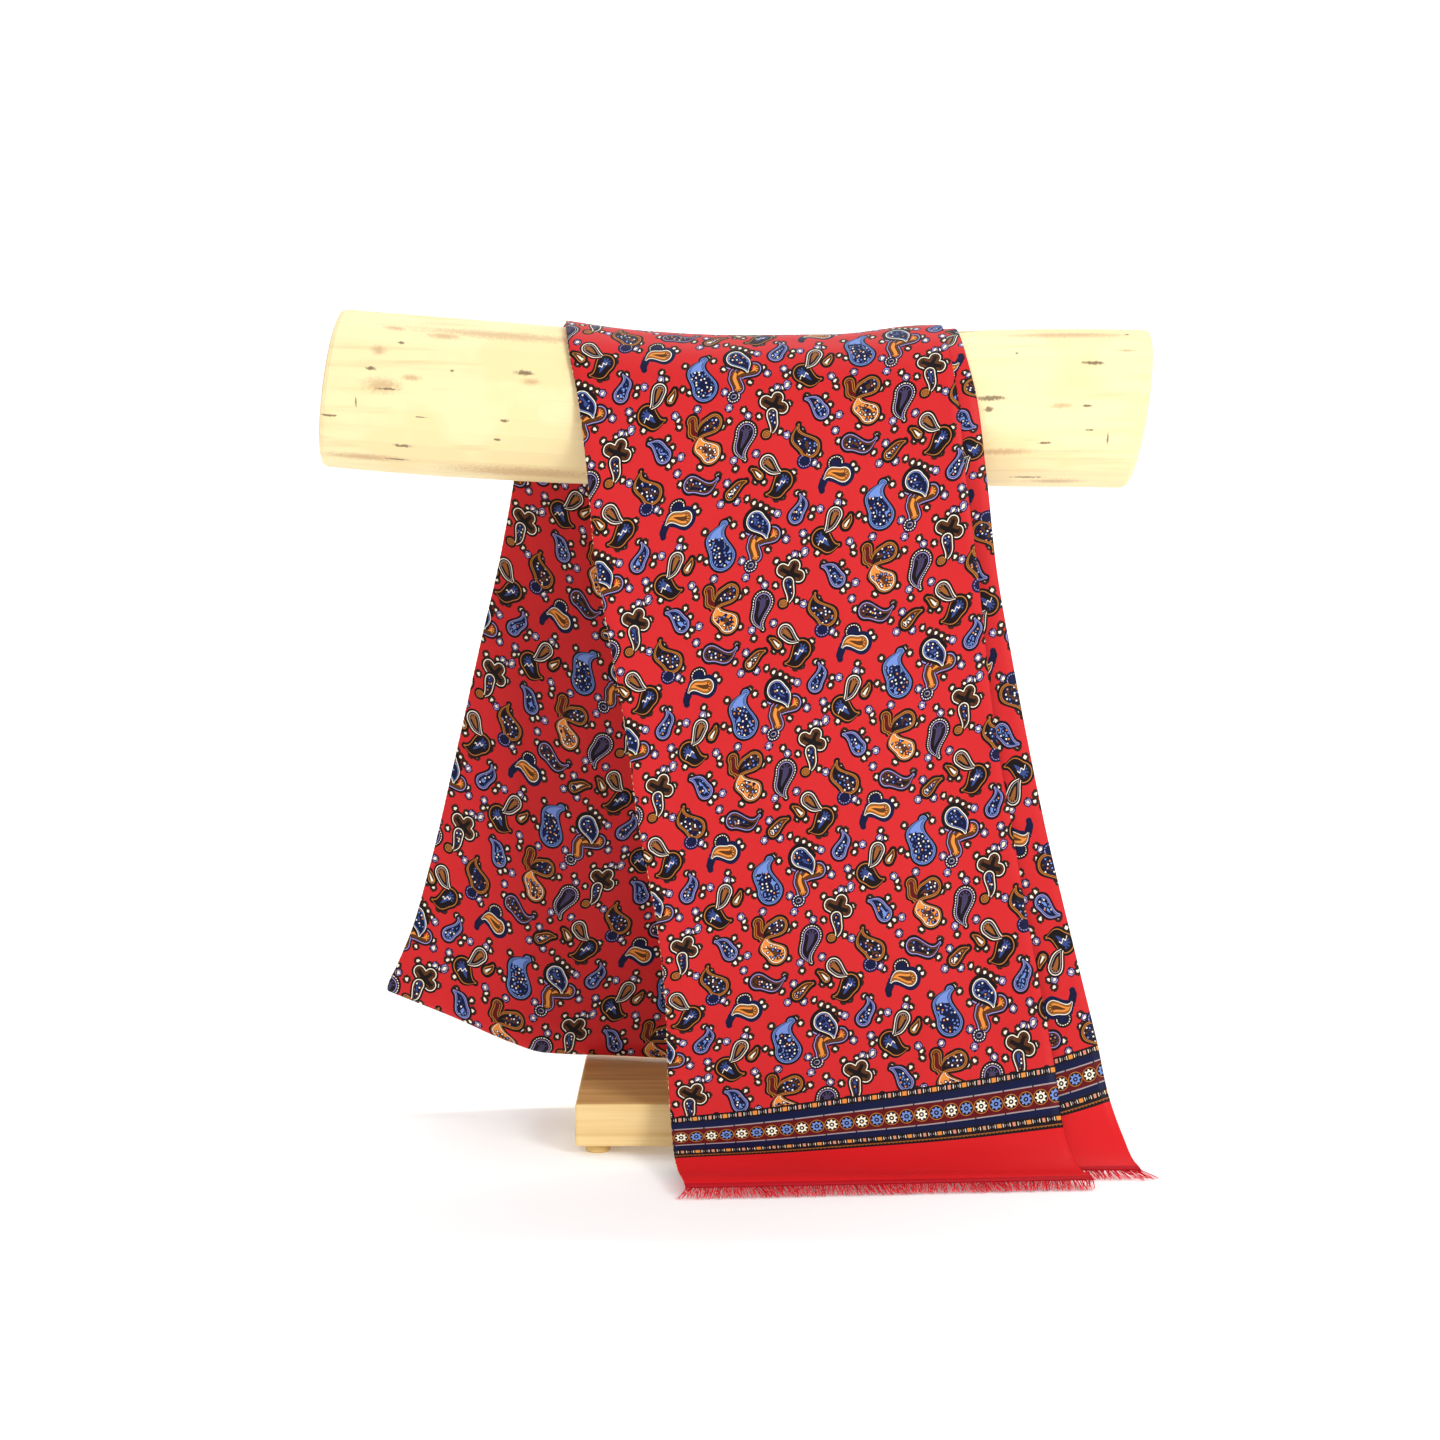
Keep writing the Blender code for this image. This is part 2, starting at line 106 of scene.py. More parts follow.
profile = bmesh.new()
rim_start = FLOOR_RADIUS - RIM_RADIUS
places = [(0.0, 0.0)] + [(rim_start * k / 4, 0.0) for k in range(1, 5)]
places += [(rim_start + RIM_RADIUS * math.sin(a), RIM_RADIUS * (1.0 - math.cos(a)))
           for a in [math.radians(9.0 * k) for k in range(1, 11)]]
corners = [profile.verts.new((x, 0.0, z)) for x, z in places]
for a, b in zip(corners, corners[1:]):
    profile.edges.new((a, b))
bmesh.ops.spin(profile, geom=profile.verts[:] + profile.edges[:], cent=(0, 0, 0), axis=(0, 0, 1),
               angle=math.tau, steps=64, use_merge=True)
bmesh.ops.remove_doubles(profile, verts=profile.verts, dist=0.0001)
bmesh.ops.recalc_face_normals(profile, faces=profile.faces)
floor_paint = plain_material("pale_floor", (0.97, 0.97, 0.97), 0.9)
glow = floor_paint.node_tree.nodes["Principled BSDF"]
glow.inputs["Emission Color"].default_value = (1.0, 1.0, 1.0, 1.0)
glow.inputs["Emission Strength"].default_value = FLOOR_GLOW
floor = finished("floor", profile, floor_paint)


# %% Hang the lights
def softbox(name, place, aim, width, height, watts):
    """A rectangular area light that looks at a point."""
    data = bpy.data.lights.new(name, "AREA")
    data.shape = "RECTANGLE"
    data.size, data.size_y = width, height
    data.energy = watts
    lamp = bpy.data.objects.new(name, data)
    lamp.location = place
    lamp.rotation_euler = (Vector(aim) - Vector(place)).to_track_quat("-Z", "Y").to_euler()
    scene.collection.objects.link(lamp)


middle = (0.0, 0.0, 0.24)
softbox("key_right", (0.95, -1.35, 0.95), middle, 0.5, 0.6, 15.0)
softbox("fill_left", (-1.0, -1.5, 0.6), middle, 1.0, 1.0, 1.7)
softbox("overhead", (0.1, -0.3, 1.7), middle, 1.0, 1.0, 3.5)
softbox("behind", (-0.2, 1.5, 1.3), middle, 1.0, 1.0, 2.6)
softbox("backdrop", (0.0, 0.9, 2.3), (0.0, 2.9, 0.5), 2.6, 0.8, 60.0)

world = bpy.data.worlds.new("studio")
world.use_nodes = True
world.node_tree.nodes["Background"].inputs["Color"].default_value = (1.0, 1.0, 1.0, 1.0)
world.node_tree.nodes["Background"].inputs["Strength"].default_value = 0.46
scene.world = world
scene.view_settings.view_transform = "Standard"
print("lights:", len(bpy.data.lights))

# %% [markdown]
# ## How the cloth hangs
# The lengthwise lines of the cloth are set out just as the construction model sets them out: round
# the log at a few angles, then row by row down to the hem or to the fold. Each row gives the height,
# the depth and the sideways place of the left edge and of the right edge. Millimetres, with depth
# counted from the log's axis.

# %% The log under the cloth, and the rows of each stretch
LOG_Y = 41.0
WALL = 1.1
LOG_CLEARANCE = 0.65
LAYER_CLEARANCE = 0.45
INNER_LIFT = LOG_CLEARANCE + WALL / 2.0
OUTER_LIFT = INNER_LIFT + WALL + LAYER_CLEARANCE

LOG_SECTIONS = [
    # x, z, y, radius
    (-225.5, 421.5, 0, 43.6),
    (-165, 416.5, 0.6, 44),
    (-102, 412.3, 0.8, 43.4),
    (-55, 409, 0.4, 41.4),
    (0, 407.4, 0, 40.2),
    (50, 407.3, -0.4, 40.2),
    (95, 409, -0.4, 41.9),
    (135, 410.2, 0, 43.3),
    (185, 410.3, 0.4, 43.9),
    (223, 409.8, 0.6, 43.9),
]
ARC_ANGLES = [0.0, 15.0, 30.0, 45.0, 60.0, 74.0]
DRIFT_ANGLE = 105.0
CREST_PUFF = [(0.00, 0.5), (0.10, 0.2), (0.45, 0.0), (0.75, 0.6), (0.92, 1.6), (1.00, 0.7)]

OUTER_FRONT = [
    # z_left, y_left, x_left, z_right, y_right, x_right
    (372, -49.5, -81.3, 372, -53, 122.8),
    (330, -51, -77.5, 330, -57, 128.3),
    (285, -53, -69.8, 285, -58, 133.5),
    (235, -55.8, -60.8, 235, -60, 139.6),
    (185, -59, -54, 183, -62.5, 148.8),
    (130, -63.2, -44, 135, -66.5, 157),
    (85, -67.5, -39.2, 92, -71.5, 165),
    (50, -72, -38, 52.6, -77.8, 171.9),
    (26.5, -79.5, -36.4, 24.5, -91.5, 174.9),
    (13, -102, -34.4, 12.8, -106, 178.2),
    (8.6, -125, -31.5, 7.6, -118.5, 182),
    (7.3, -144.5, -28, 6.6, -126.5, 186),
    (6.2, -146, -27.6, 5.6, -127.8, 186.4),
]
INNER_FRONT = [
    (372, -46.8, -72, 372, -48.8, 134.6),
    (330, -48.2, -66.5, 322, -50, 140.4),
    (285, -50.2, -57.5, 275, -52.5, 148.8),
    (235, -52.8, -47, 225, -55.5, 158.5),
    (185, -55.6, -36.5, 180, -58.2, 168),
    (130, -59.5, -24.5, 135, -61.3, 178.8),
    (92, -62.8, -17, 100, -64.8, 187.4),
    (58, -66.5, -11, 66, -70, 195.6),
    (30, -71.5, -6.5, 37, -80, 201.4),
    (14.5, -86, -1, 18.5, -91.5, 207.6),
    (7.8, -99, 4, 8.6, -102.5, 211.8),
    (6.5, -105, 6, 6.5, -107, 214),
    (5.5, -106.2, 6.4, 5.5, -108.2, 214.6),
]
REAR = [
    (372, 49, -128, 372, 49, 81.5),
    (323, 52, -137.5, 323, 52, 71.5),
    (277, 54.5, -148.6, 277, 54.5, 60),
    (206, 57.5, -165.2, 206, 57.5, 43.5),
    (141, 59.8, -181.2, 141, 60.5, 27),
    (103, 60.5, -192.5, 95, 63.5, 15.5),
]
OUTER_CREST_X = (-95.0, 113.0)
INNER_CREST_X = (-84.0, 121.0)
FOLD_LINE = [
    # across, z, y
    (0.00, 70.6, 60),
    (0.18, 55, 60),
    (0.34, 39.6, 60.4),
    (0.44, 33, 60.8),
    (0.56, 32, 60),
    (0.78, 32, 50.5),
    (1.00, 32, 43.5),
]
FOLD_X = (-206.2, 4.0)
FOLD_RADIUS = 1.3
REAR_HALF_GAP = 1.2
REAR_BULGE = 3.5
BULGE_PLACE = 0.55
BULGE_FROM, BULGE_OVER = 0.4, 0.5     # places across

FRONT_WAVES = {"drift": 0.15, "lowest": 20.0, "waves": [
    # x, half_width, towards_rear
    (84.0, 17.0, 1.6),
    (5.0, 42.0, -2.4),
]}
REAR_WAVES = {"drift": -0.235, "lowest": 60.0, "waves": [
    (-62.0, 26.0, 2.2),
    (15.0, 30.0, -1.8),
]}
WAVE_X_HEIGHT = 410.0
WAVE_TOP, WAVE_ONSET = 360.0, 160.0
WAVE_FADE = 60.0
print("rows:", len(OUTER_FRONT), "in front,", len(INNER_FRONT), "beneath,", len(REAR), "behind")

# %% [markdown]
# A few helpers turn those tables into lines: a curve through a table's column that never
# overshoots, and the place of a lengthwise line on the log, below it and in its waves.

# %% Read the tables as smooth curves
def smooth(t):
    """A soft step from 0 to 1."""
    t = min(max(t, 0.0), 1.0)
    return t * t * (3.0 - 2.0 * t)


def lerp(a, b, t):
    return a + (b - a) * t


def hermite(a, b, slope_a, slope_b, t):
    """A smooth step from a to b that leaves and arrives along the given slopes."""
    return (a * (2 * t**3 - 3 * t**2 + 1) + slope_a * (t**3 - 2 * t**2 + t)
            + b * (3 * t**2 - 2 * t**3) + slope_b * (t**3 - t**2))


def read_table(table, at, column):
    """A column of a table at a place between its rows, along a curve without overshoot."""
    keys = [row[0] for row in table]
    values = [row[column] for row in table]
    if at <= keys[0]:
        return values[0]
    if at >= keys[-1]:
        return values[-1]
    i = max(k for k in range(len(keys) - 1) if keys[k] <= at)
    steps = [(values[k + 1] - values[k]) / (keys[k + 1] - keys[k]) for k in range(len(keys) - 1)]

    def slope(k):
        if k == 0 or k == len(steps):
            return steps[min(k, len(steps) - 1)]
        if steps[k - 1] * steps[k] <= 0.0:
            return 0.0
        return 2.0 * steps[k - 1] * steps[k] / (steps[k - 1] + steps[k])

    span = keys[i + 1] - keys[i]
    return hermite(values[i], values[i + 1], slope(i) * span, slope(i + 1) * span,
                   (at - keys[i]) / span)


print("the log is", 2 * read_table(LOG_SECTIONS, 0, 3), "mm thick where it is thinnest")


# %% Lay a line over the log and let it hang
def line_over_log(across, side, lift, crest_x, foot, puff):
    """The part of a lengthwise line that lies on the log, from the top to just above its side.
    The puff of the crest dies away in the first 45 degrees."""
    points = []
    for angle in ARC_ANGLES:
        share = smooth(angle / DRIFT_ANGLE) if side > 0 else (angle / DRIFT_ANGLE) ** 2
        x = lerp(lerp(crest_x[0], foot[2], share), lerp(crest_x[1], foot[5], share), across)
        z, y, radius = [read_table(LOG_SECTIONS, x, column) for column in (1, 2, 3)]
        reach = radius + lift + puff * math.cos(math.radians(min(angle * 2.0, 90.0)))
        turn = math.radians(angle)
        points.append(Vector((x, y + side * reach * math.sin(turn), z + reach * math.cos(turn))))
    return points


def hanging_points(rows, waves, across):
    """A lengthwise line's place in each row of a stretch, with the waves of its face."""
    points = []
    for z_left, y_left, x_left, z_right, y_right, x_right in rows:
        point = Vector((lerp(x_left, x_right, across), lerp(y_left, y_right, across),
                        lerp(z_left, z_right, across)))
        shift = (WAVE_X_HEIGHT - point.z) * waves["drift"]
        fade = (smooth((WAVE_TOP - point.z) / WAVE_ONSET)
                * smooth((point.z - waves["lowest"]) / WAVE_FADE))
        for x, half_width, towards_rear in waves["waves"]:
            away = (point.x - x - shift) / half_width
            point.y += fade * towards_rear * math.exp(-away * away)
        points.append(point)
    return points


def front_points(rows, across, lift, crest_x, puff):
    """Key points of a front stretch's line, from the top of the log to the hem."""
    return line_over_log(across, -1.0, lift, crest_x, rows[0], puff) + hanging_points(
        rows, FRONT_WAVES, across)


def rear_points(across, lift, crest_x, puff, offset):
    """Key points of a rear layer's line, from the top of the log to just above the fold."""
    points = line_over_log(across, 1.0, lift, crest_x, REAR[0], puff)
    shared = hanging_points(REAR, REAR_WAVES, across)
    fold = Vector((lerp(*FOLD_X, across), read_table(FOLD_LINE, across, 2),
                   read_table(FOLD_LINE, across, 1)))
    bulge = Vector((0.0, REAR_BULGE * smooth((across - BULGE_FROM) / BULGE_OVER), 0.0))
    shared += [shared[-1].lerp(fold, BULGE_PLACE) + bulge, fold]
    for k, point in enumerate(shared):
        tangent = shared[min(k + 1, len(shared) - 1)] - shared[max(k - 1, 0)]
        points.append(point + Vector((0.0, -tangent.z, tangent.y)).normalized() * offset)
    return points


hem = front_points(OUTER_FRONT, 0.5, OUTER_LIFT, OUTER_CREST_X, 0.0)[-1]
print("the middle of the outer hem is at", [round(number, 1) for number in hem])

# %% [markdown]
# ## The tube as one strip
# A lengthwise line now runs the whole scarf: from the upper hem up the front, over the log, down
# behind, round the fold, up again and down to the lower hem. Each span between two key points
# gets as many cells as its length asks for, the same for every line, so the lines form a grid.

# %% Set out the whole length
CELL = 4.3  # millimetres along the cloth


def whole_line(across):
    """Key points of a lengthwise line from the outer hem to the inner hem."""
    puff = read_table(CREST_PUFF, across, 1)
    outer_front = front_points(OUTER_FRONT, across, OUTER_LIFT, OUTER_CREST_X, puff)
    outer_rear = rear_points(across, OUTER_LIFT, OUTER_CREST_X, puff, REAR_HALF_GAP)
    inner_rear = rear_points(across, INNER_LIFT, INNER_CREST_X, 0.0, -REAR_HALF_GAP)
    inner_front = front_points(INNER_FRONT, across, INNER_LIFT, INNER_CREST_X, 0.0)
    near, far = inner_rear[-1], outer_rear[-1]
    down = Vector((0.0, (far - near).z, -(far - near).y)).normalized()
    turn = (near + far) / 2.0 + down * FOLD_RADIUS
    return outer_front[::-1] + outer_rear[1:] + [turn] + inner_rear[::-1] + inner_front[1:]


def curve_through(points, cells):
    """A smooth curve through the given points, with a number of cells for each span."""
    spans = [(b - a).length for a, b in zip(points, points[1:])]
    steps = [(b - a) / span for a, b, span in zip(points, points[1:], spans)]
    tangents = [steps[0]]
    for k in range(1, len(steps)):
        tangents.append(steps[k - 1].lerp(steps[k], spans[k - 1] / (spans[k - 1] + spans[k])))
    tangents.append(steps[-1])
    result = [points[0]]
    for k, span in enumerate(spans):
        for cell in range(1, cells[k] + 1):
            result.append(hermite(points[k], points[k + 1], tangents[k] * span,
                                  tangents[k + 1] * span, cell / cells[k]))
    return result


middle_keys = whole_line(0.5)
SPAN_CELLS = [max(2, round((b - a).length / CELL)) for a, b in zip(middle_keys, middle_keys[1:])]
ROWS = sum(SPAN_CELLS)
middle_line = curve_through(middle_keys, SPAN_CELLS)
middle_length = sum((b - a).length for a, b in zip(middle_line, middle_line[1:]))
print(f"{ROWS} cells along {middle_length:.0f} mm of cloth")

# %% [markdown]
# ## Where the print lies
# The silk is printed before it is sewn, so the pattern follows the threads and not the room. Hung
# askew, the cloth shears: its crosswise threads rise towards the right on the front. The table
# gives, for a few crosswise threads, their distance from the outer hem in the flat cloth, and how far
# along the left edge, the middle and the right edge each one lies as hung.

# %% Follow the crosswise threads
WEFT_LINES = [
    # flat, left, middle, right
    (0, 0, 0, 0),
    (40, 39.2, 39.9, 42.9),
    (72.8, 72.4, 73, 78.2),
    (120, 114, 119.6, 132.5),
    (175, 161.5, 175.3, 191.5),
    (235, 219.8, 236.1, 253.2),
    (315, 300.2, 317.6, 335.1),
    (413, 399.7, 417.3, 434.5),
    (510, 499.5, 516, 532),
    (969, 971.5, 977, 981),
    (1252, 1261, 1266, 1270),
    (1430, 1425, 1446, 1451),
    (1588, 1570, 1588, 1587),
    (1865.6, 1839.7, 1875.8, 1874),
    (1898.4, 1872.9, 1908.7, 1906.2),
    (1938.4, 1912.1, 1934.6, 1949.9),
]
# The print drifts a little sideways along the cloth.
SIDE_DRIFT = [
    # flat, sideways
    (0, 0),
    (250, -3),
    (500, -6.8),
    (969, -6.3),
    (1075, -2.6),
    (1260, 1.2),
    (1430, 3),
    (1588, -6),
    (1860, -2),
    (1938.4, 0),
]
FLAT_WIDTH = 209.0
FLAT_LENGTH = WEFT_LINES[-1][0]


def flat_place(across, along, total):
    """Distance from the outer hem in the flat cloth, of a place at a length along its line."""
    def hung(row):
        left, centre, right = row[1:]
        return (left * (1 - across) * (1 - 2 * across) + centre * 4 * across * (1 - across)
                + right * across * (2 * across - 1))
    scale = hung(WEFT_LINES[-1]) / total
    keys = [(hung(row), row[0]) for row in WEFT_LINES]
    return read_table(keys, along * scale, 1)


print("flat cloth:", FLAT_WIDTH, "by", FLAT_LENGTH, "mm")

# %% [markdown]
# ## Arithmetic for materials
# A material's graph reads best as a formula. A small class wraps a node's output socket so that
# `1 - mask` or `a * b` adds the Math node for it. One method adds every other kind of node.

# %% A socket that can be calculated with
def linear(red, green, blue):
    """A colour as read off a picture, 0 to 255, in the renderer's linear light."""
    return tuple(c / 12.92 if c <= 0.04045 else ((c + 0.055) / 1.055) ** 2.4
                 for c in (red / 255.0, green / 255.0, blue / 255.0)) + (1.0,)


def operator(operation, reflected=False):
    """A method that adds one Math node, of a socket and another or a number."""
    def method(self, *other):
        values = other + (self,) if reflected else (self,) + other
        return self.graph.add("Math", values, operation=operation)
    return method


class Wire:
    """An output socket; each operator adds one Math node behind it."""

    def __init__(self, graph, socket):
        self.graph, self.socket = graph, socket

    def math(self, operation, *others, clamp=False):
        return self.graph.add("Math", (self,) + others, operation=operation, use_clamp=clamp)

    __add__ = __radd__ = operator("ADD")
    __mul__ = __rmul__ = operator("MULTIPLY")
    __sub__ = operator("SUBTRACT")
    __rsub__ = operator("SUBTRACT", reflected=True)
    __truediv__ = operator("DIVIDE")
    __lt__ = operator("LESS_THAN")
    __gt__ = operator("GREATER_THAN")
    __abs__ = operator("ABSOLUTE")

    def part(self, axis):
        """One of the three numbers of a vector."""
        return self.graph.add("SeparateXYZ", (self,), output=axis)

    def channels(self):
        """The three numbers of a colour."""
        node = self.graph.add("SeparateColor", (self,)).socket.node
        return [Wire(self.graph, output) for output in node.outputs]


class Graph:
    """The node tree of one material, with the few kinds of node that the finishes use."""

    def __init__(self, material):
        self.tree = material.node_tree
        self.shader = self.tree.nodes["Principled BSDF"]

    def add(self, kind, values=(), output=0, stops=None, **settings):
        """Add a node: its settings, a ramp's stops, then its sockets by place or by name."""
        node = self.tree.nodes.new("ShaderNode" + kind)
        for name, value in settings.items():
            setattr(node, name, value)
        if stops:
            ramp = node.color_ramp
            ramp.interpolation = "CONSTANT" if settings.get("label") == "table" else "LINEAR"
            while len(ramp.elements) < len(stops):
                ramp.elements.new(1.0)
            while len(ramp.elements) > len(stops):
                ramp.elements.remove(ramp.elements[-1])
            ramp.elements.foreach_set("position", [place for place, _colour in stops])
            ramp.elements.foreach_set("color", [c for _place, colour in stops for c in colour])
        sockets = values.items() if isinstance(values, dict) else enumerate(values)
        for name, value in sockets:
            self.feed(node.inputs[name], value)
        return Wire(self, node.outputs[output])

    def feed(self, target, value):
        if isinstance(value, Wire):
            self.tree.links.new(value.socket, target)
        else:
            target.default_value = value

    def vector(self, operation, *values, output=0):
        return self.add("VectorMath", values, output=output, operation=operation)

    def scaled(self, vector, factor):
        return self.add("VectorMath", {0: vector, "Scale": factor}, operation="SCALE")

    def mix(self, below, above, mask):
        """Colour `above` laid over `below` where the mask is 1."""
        return self.add("Mix", {0: mask, 6: below, 7: above}, output=2, data_type="RGBA")

    def finish(self, **values):
        """Feed the Principled shader: names are its sockets, with _ for a space."""
        for name, value in values.items():
            self.feed(self.shader.inputs[name.replace("_", " ")], value)


# %% [markdown]
# ## The paisley print
# The print is a scatter of teardrops, the boteh of Persian and Kashmiri cloth, in a repeat of
# 90 mm. Each teardrop is a spine from the middle of its body to its tip, bowed to one side, with a
# width that narrows along it. The shader finds the teardrop that is nearest, reads its shape and
# its colours from small tables, and paints rings of colour by the distance from its edge.

# %% Mix the colours
RED, PINK = linear(204, 38, 41), linear(214, 140, 112)
INK, NAVY = linear(20, 9, 12), linear(10, 18, 58)
BROWN, GOLD = linear(88, 50, 20), linear(190, 116, 44)
ORANGE, CREAM = linear(228, 140, 58), linear(248, 238, 216)
LILAC, BLUE = linear(160, 144, 206), linear(112, 140, 208)
STONE, MAROON = linear(166, 150, 150), linear(94, 10, 16)
DIM_LILAC, DIM_GOLD = linear(66, 56, 88), linear(150, 90, 40)
DIM_BLUE = linear(54, 72, 132)

# Outline, edge line, three layers inwards and the core.
BLUE_DROP = (INK, BLUE, BLUE, NAVY, BLUE, NAVY)
SKY_DROP = (INK, CREAM, BLUE, INK, NAVY, DIM_BLUE)
HOOK = (INK, LILAC, BROWN, BROWN, BROWN, ORANGE)
FLOWER = (INK, CREAM, BROWN, BROWN, BROWN, INK)
BUD = (INK, CREAM, BROWN, INK, NAVY, DIM_BLUE)
SCROLL = (INK, GOLD, BROWN, GOLD, BROWN, MAROON)
CURL = (INK, GOLD, GOLD, BROWN, BROWN, DIM_GOLD)
MARIGOLD = (INK, GOLD, CREAM, ORANGE, ORANGE, BROWN)
BEADED = (INK, CREAM, INK, LILAC, INK, DIM_LILAC)
DUSK = (INK, GOLD, GOLD, BROWN, INK, BROWN)
PLUM = (INK, LILAC, BROWN, BROWN, INK, BROWN)
LEAF = (INK, GOLD, BROWN, BROWN, GOLD, CREAM)
PEBBLE = (INK, CREAM, INK, STONE, INK, DIM_GOLD)
NIGHT = (INK, GOLD, INK, INK, INK, DIM_BLUE)
SUNSET = (NAVY, CREAM, GOLD, BROWN, ORANGE, BROWN)
RAIN = (INK, LILAC, BLUE, INK, NAVY, BLUE)
GOLD_FAN = (INK, CREAM, INK, NAVY, NAVY, NAVY)
NAVY_FAN = (NAVY, LILAC, NAVY, NAVY, NAVY, NAVY)
STAR_FAN = (NAVY, CREAM, NAVY, NAVY, STONE, NAVY)
PLAIN_NAVY = (NAVY,) * 6
print("red in linear light:", [round(channel, 3) for channel in RED[:3]])

# %% Chart the teardrops of one repeat
REPEAT = 90.0
# Seeds: how far the navy round each seed reaches, in parts of its cell. Beads, on top: 1 for yes.
TEARDROPS = [
    # body, tip, bow, body radius, tip radius, outline, seeds, beads, on top, colours
    ((80.4, 87.4), (83, 71.2), -4.4, 7.1, 2.2, 1.2, 0.62, 0, 0, BLUE_DROP),
    ((19.6, 83.6), (10, 85.6), 0.8, 4.1, 3.2, 1.2, 0, 0, 0, HOOK),
    ((8.8, 92.6), (9, 84.6), -1, 3.4, 3.5, 0.9, 0, 0, 0, HOOK),
    ((10.7, 74.6), (15.8, 84.4), -1.6, 5.3, 0.8, 2.1, 0.5, 0, 1, SKY_DROP),
    ((22.9, 13.4), (26.8, 16.4), 0, 3.5, 3.9, 1.2, 0, 0, 0, FLOWER),
    ((29.6, 12.6), (27, 16.6), 0, 3.4, 3.9, 1.2, 0, 0, 0, FLOWER),
    ((31.4, 18.4), (27.4, 16.6), 0, 3.4, 3.9, 1.2, 0, 0, 0, FLOWER),
    ((25.3, 20.6), (23.6, 31), -1.2, 3.1, 0.8, 1.1, 0.5, 0, 1, BUD),
    ((52.8, 24.8), (45.2, 16.2), 1.8, 4.2, 0.8, 1.3, 0.5, 0, 0, RAIN),
    ((82.3, 17.2), (73, 20.6), 0.8, 4.9, 2.6, 1.3, 0.5, 0, 0, DUSK),
    ((70.6, 12.6), (73, 20.2), 1.8, 2.9, 3.3, 1.3, 0, 0, 0, SCROLL),
    ((79, 32), (75.2, 20.8), -3.4, 5.8, 0.8, 1.3, 0.4, 0, 0, MARIGOLD),
    ((9.8, 27.4), (7.8, 41.4), 2.8, 5.7, 0.8, 1.2, 0, 1, 0, BEADED),
    ((44.2, 42.4), (39.4, 29.4), -3.6, 5.8, 0.6, 1.4, 0.5, 0, 0, DUSK),
    ((66.4, 44.6), (81.4, 46.4), 3.8, 4.3, 0.8, 1.4, 0.5, 0, 0, PLUM),
    ((87.8, 57), (97.2, 52.8), -1, 2.9, 0.6, 1.6, 0.5, 0, 0, LEAF),
    ((27.9, 57), (18, 62.2), -2.4, 5.3, 0.6, 1.3, 0, 0, 0, NIGHT),
    ((20, 45.6), (26.6, 52.2), 0.8, 4.1, 0.9, 1.1, 0, 0, 1, PEBBLE),
    ((61.6, 60.8), (50.4, 61.2), 2.8, 4.1, 0.7, 2.2, 0, 0, 1, SUNSET),
    ((50.4, 61.6), (48.8, 66.6), 0.6, 2, 1.5, 0.3, 0, 0, 0, PLAIN_NAVY),
    ((33, 77), (36.4, 66.2), 2.6, 4, 0.6, 1.3, 0.5, 0, 0, RAIN),
    ((46, 91.4), (55.4, 96.8), 2.4, 5.4, 0.6, 1.3, 0, 0, 0, NIGHT),
    ((54.8, 80.6), (48.6, 88.4), -0.8, 4.1, 0.9, 1.1, 0, 0, 1, PEBBLE),
    ((60.2, 87.4), (63.4, 83), 0.4, 2.1, 0.7, 1.6, 0, 0, 0, LEAF),
    ((15, 51.8), (11, 47.4), 0.4, 2.1, 0.7, 1.6, 0, 0, 0, LEAF),
    ((57.4, 53.8), (58.2, 53.8), 0, 3.6, 3.6, 1.1, 0, 1, 0, GOLD_FAN),
    ((40.4, 49.2), (41.2, 49.2), 0, 3.1, 3.1, 1.1, 0, 1, 0, NAVY_FAN),
    ((5.2, 6.8), (5.9, 6.8), 0, 3, 3, 0.9, 0, 1, 0, STAR_FAN),
    ((20.6, 30.8), (21.2, 30.8), 0, 2, 2, 1.2, 0, 0, 0, CURL),
]
print(len(TEARDROPS), "teardrops in a repeat")

# %% Chart the hearts
# Small hearts round the teardrops: brown-edged ones, then those with a lilac edge.
BROWN_HEARTS = [
    (25, 84), (3, 80), (7, 62), (10.5, 65), (14, 67), (17, 69.5), (20.5, 72), (20, 8), (27.5, 8),
    (33.5, 7.5), (35.5, 17), (18, 20.5), (28.6, 31), (10, 15.5), (2, 44.5), (46, 15), (36.5, 91),
    (39.5, 90), (43, 98.6), (63, 9.5), (63, 13), (1, 19), (56, 17), (58, 22), (68, 84), (71.5, 87),
    (72.3, 37.3), (85.2, 36), (82, 45), (79.5, 53.5), (55, 31), (57.8, 29), (35, 65), (38.2, 66.5),
    (41.5, 79), (43, 75.5), (60, 75.5), (67.5, 57), (69, 59.5), (34, 54), (33.2, 57.5), (23, 65.3),
    (26.5, 65), (40.5, 32.5), (49.5, 47), (48, 53), (60.6, 42.5), (85.5, 70), (88.2, 73),
    (72, 71.5), (17, 55.5), (12.5, 54), (58.2, 71), (87, 20.5), (16, 91),
]
LILAC_HEARTS = [
    (26.5, 87.8), (6.5, 79), (23, 73.5), (2, 12), (1, 3), (30.5, 7), (12, 19), (1.5, 40), (14.2, 39.8),
    (36.2, 86.8), (36, 97.0), (61.5, 6.5), (74.3, 7.2), (59.3, 36.5), (86.5, 50.6), (82, 60),
    (91, 61.5), (62.3, 28.6), (46.8, 76), (57, 74.8), (32.2, 33.5), (41.2, 35.2), (46, 51), (36.3, 96),
]
print(len(BROWN_HEARTS) + len(LILAC_HEARTS), "hearts in a repeat")

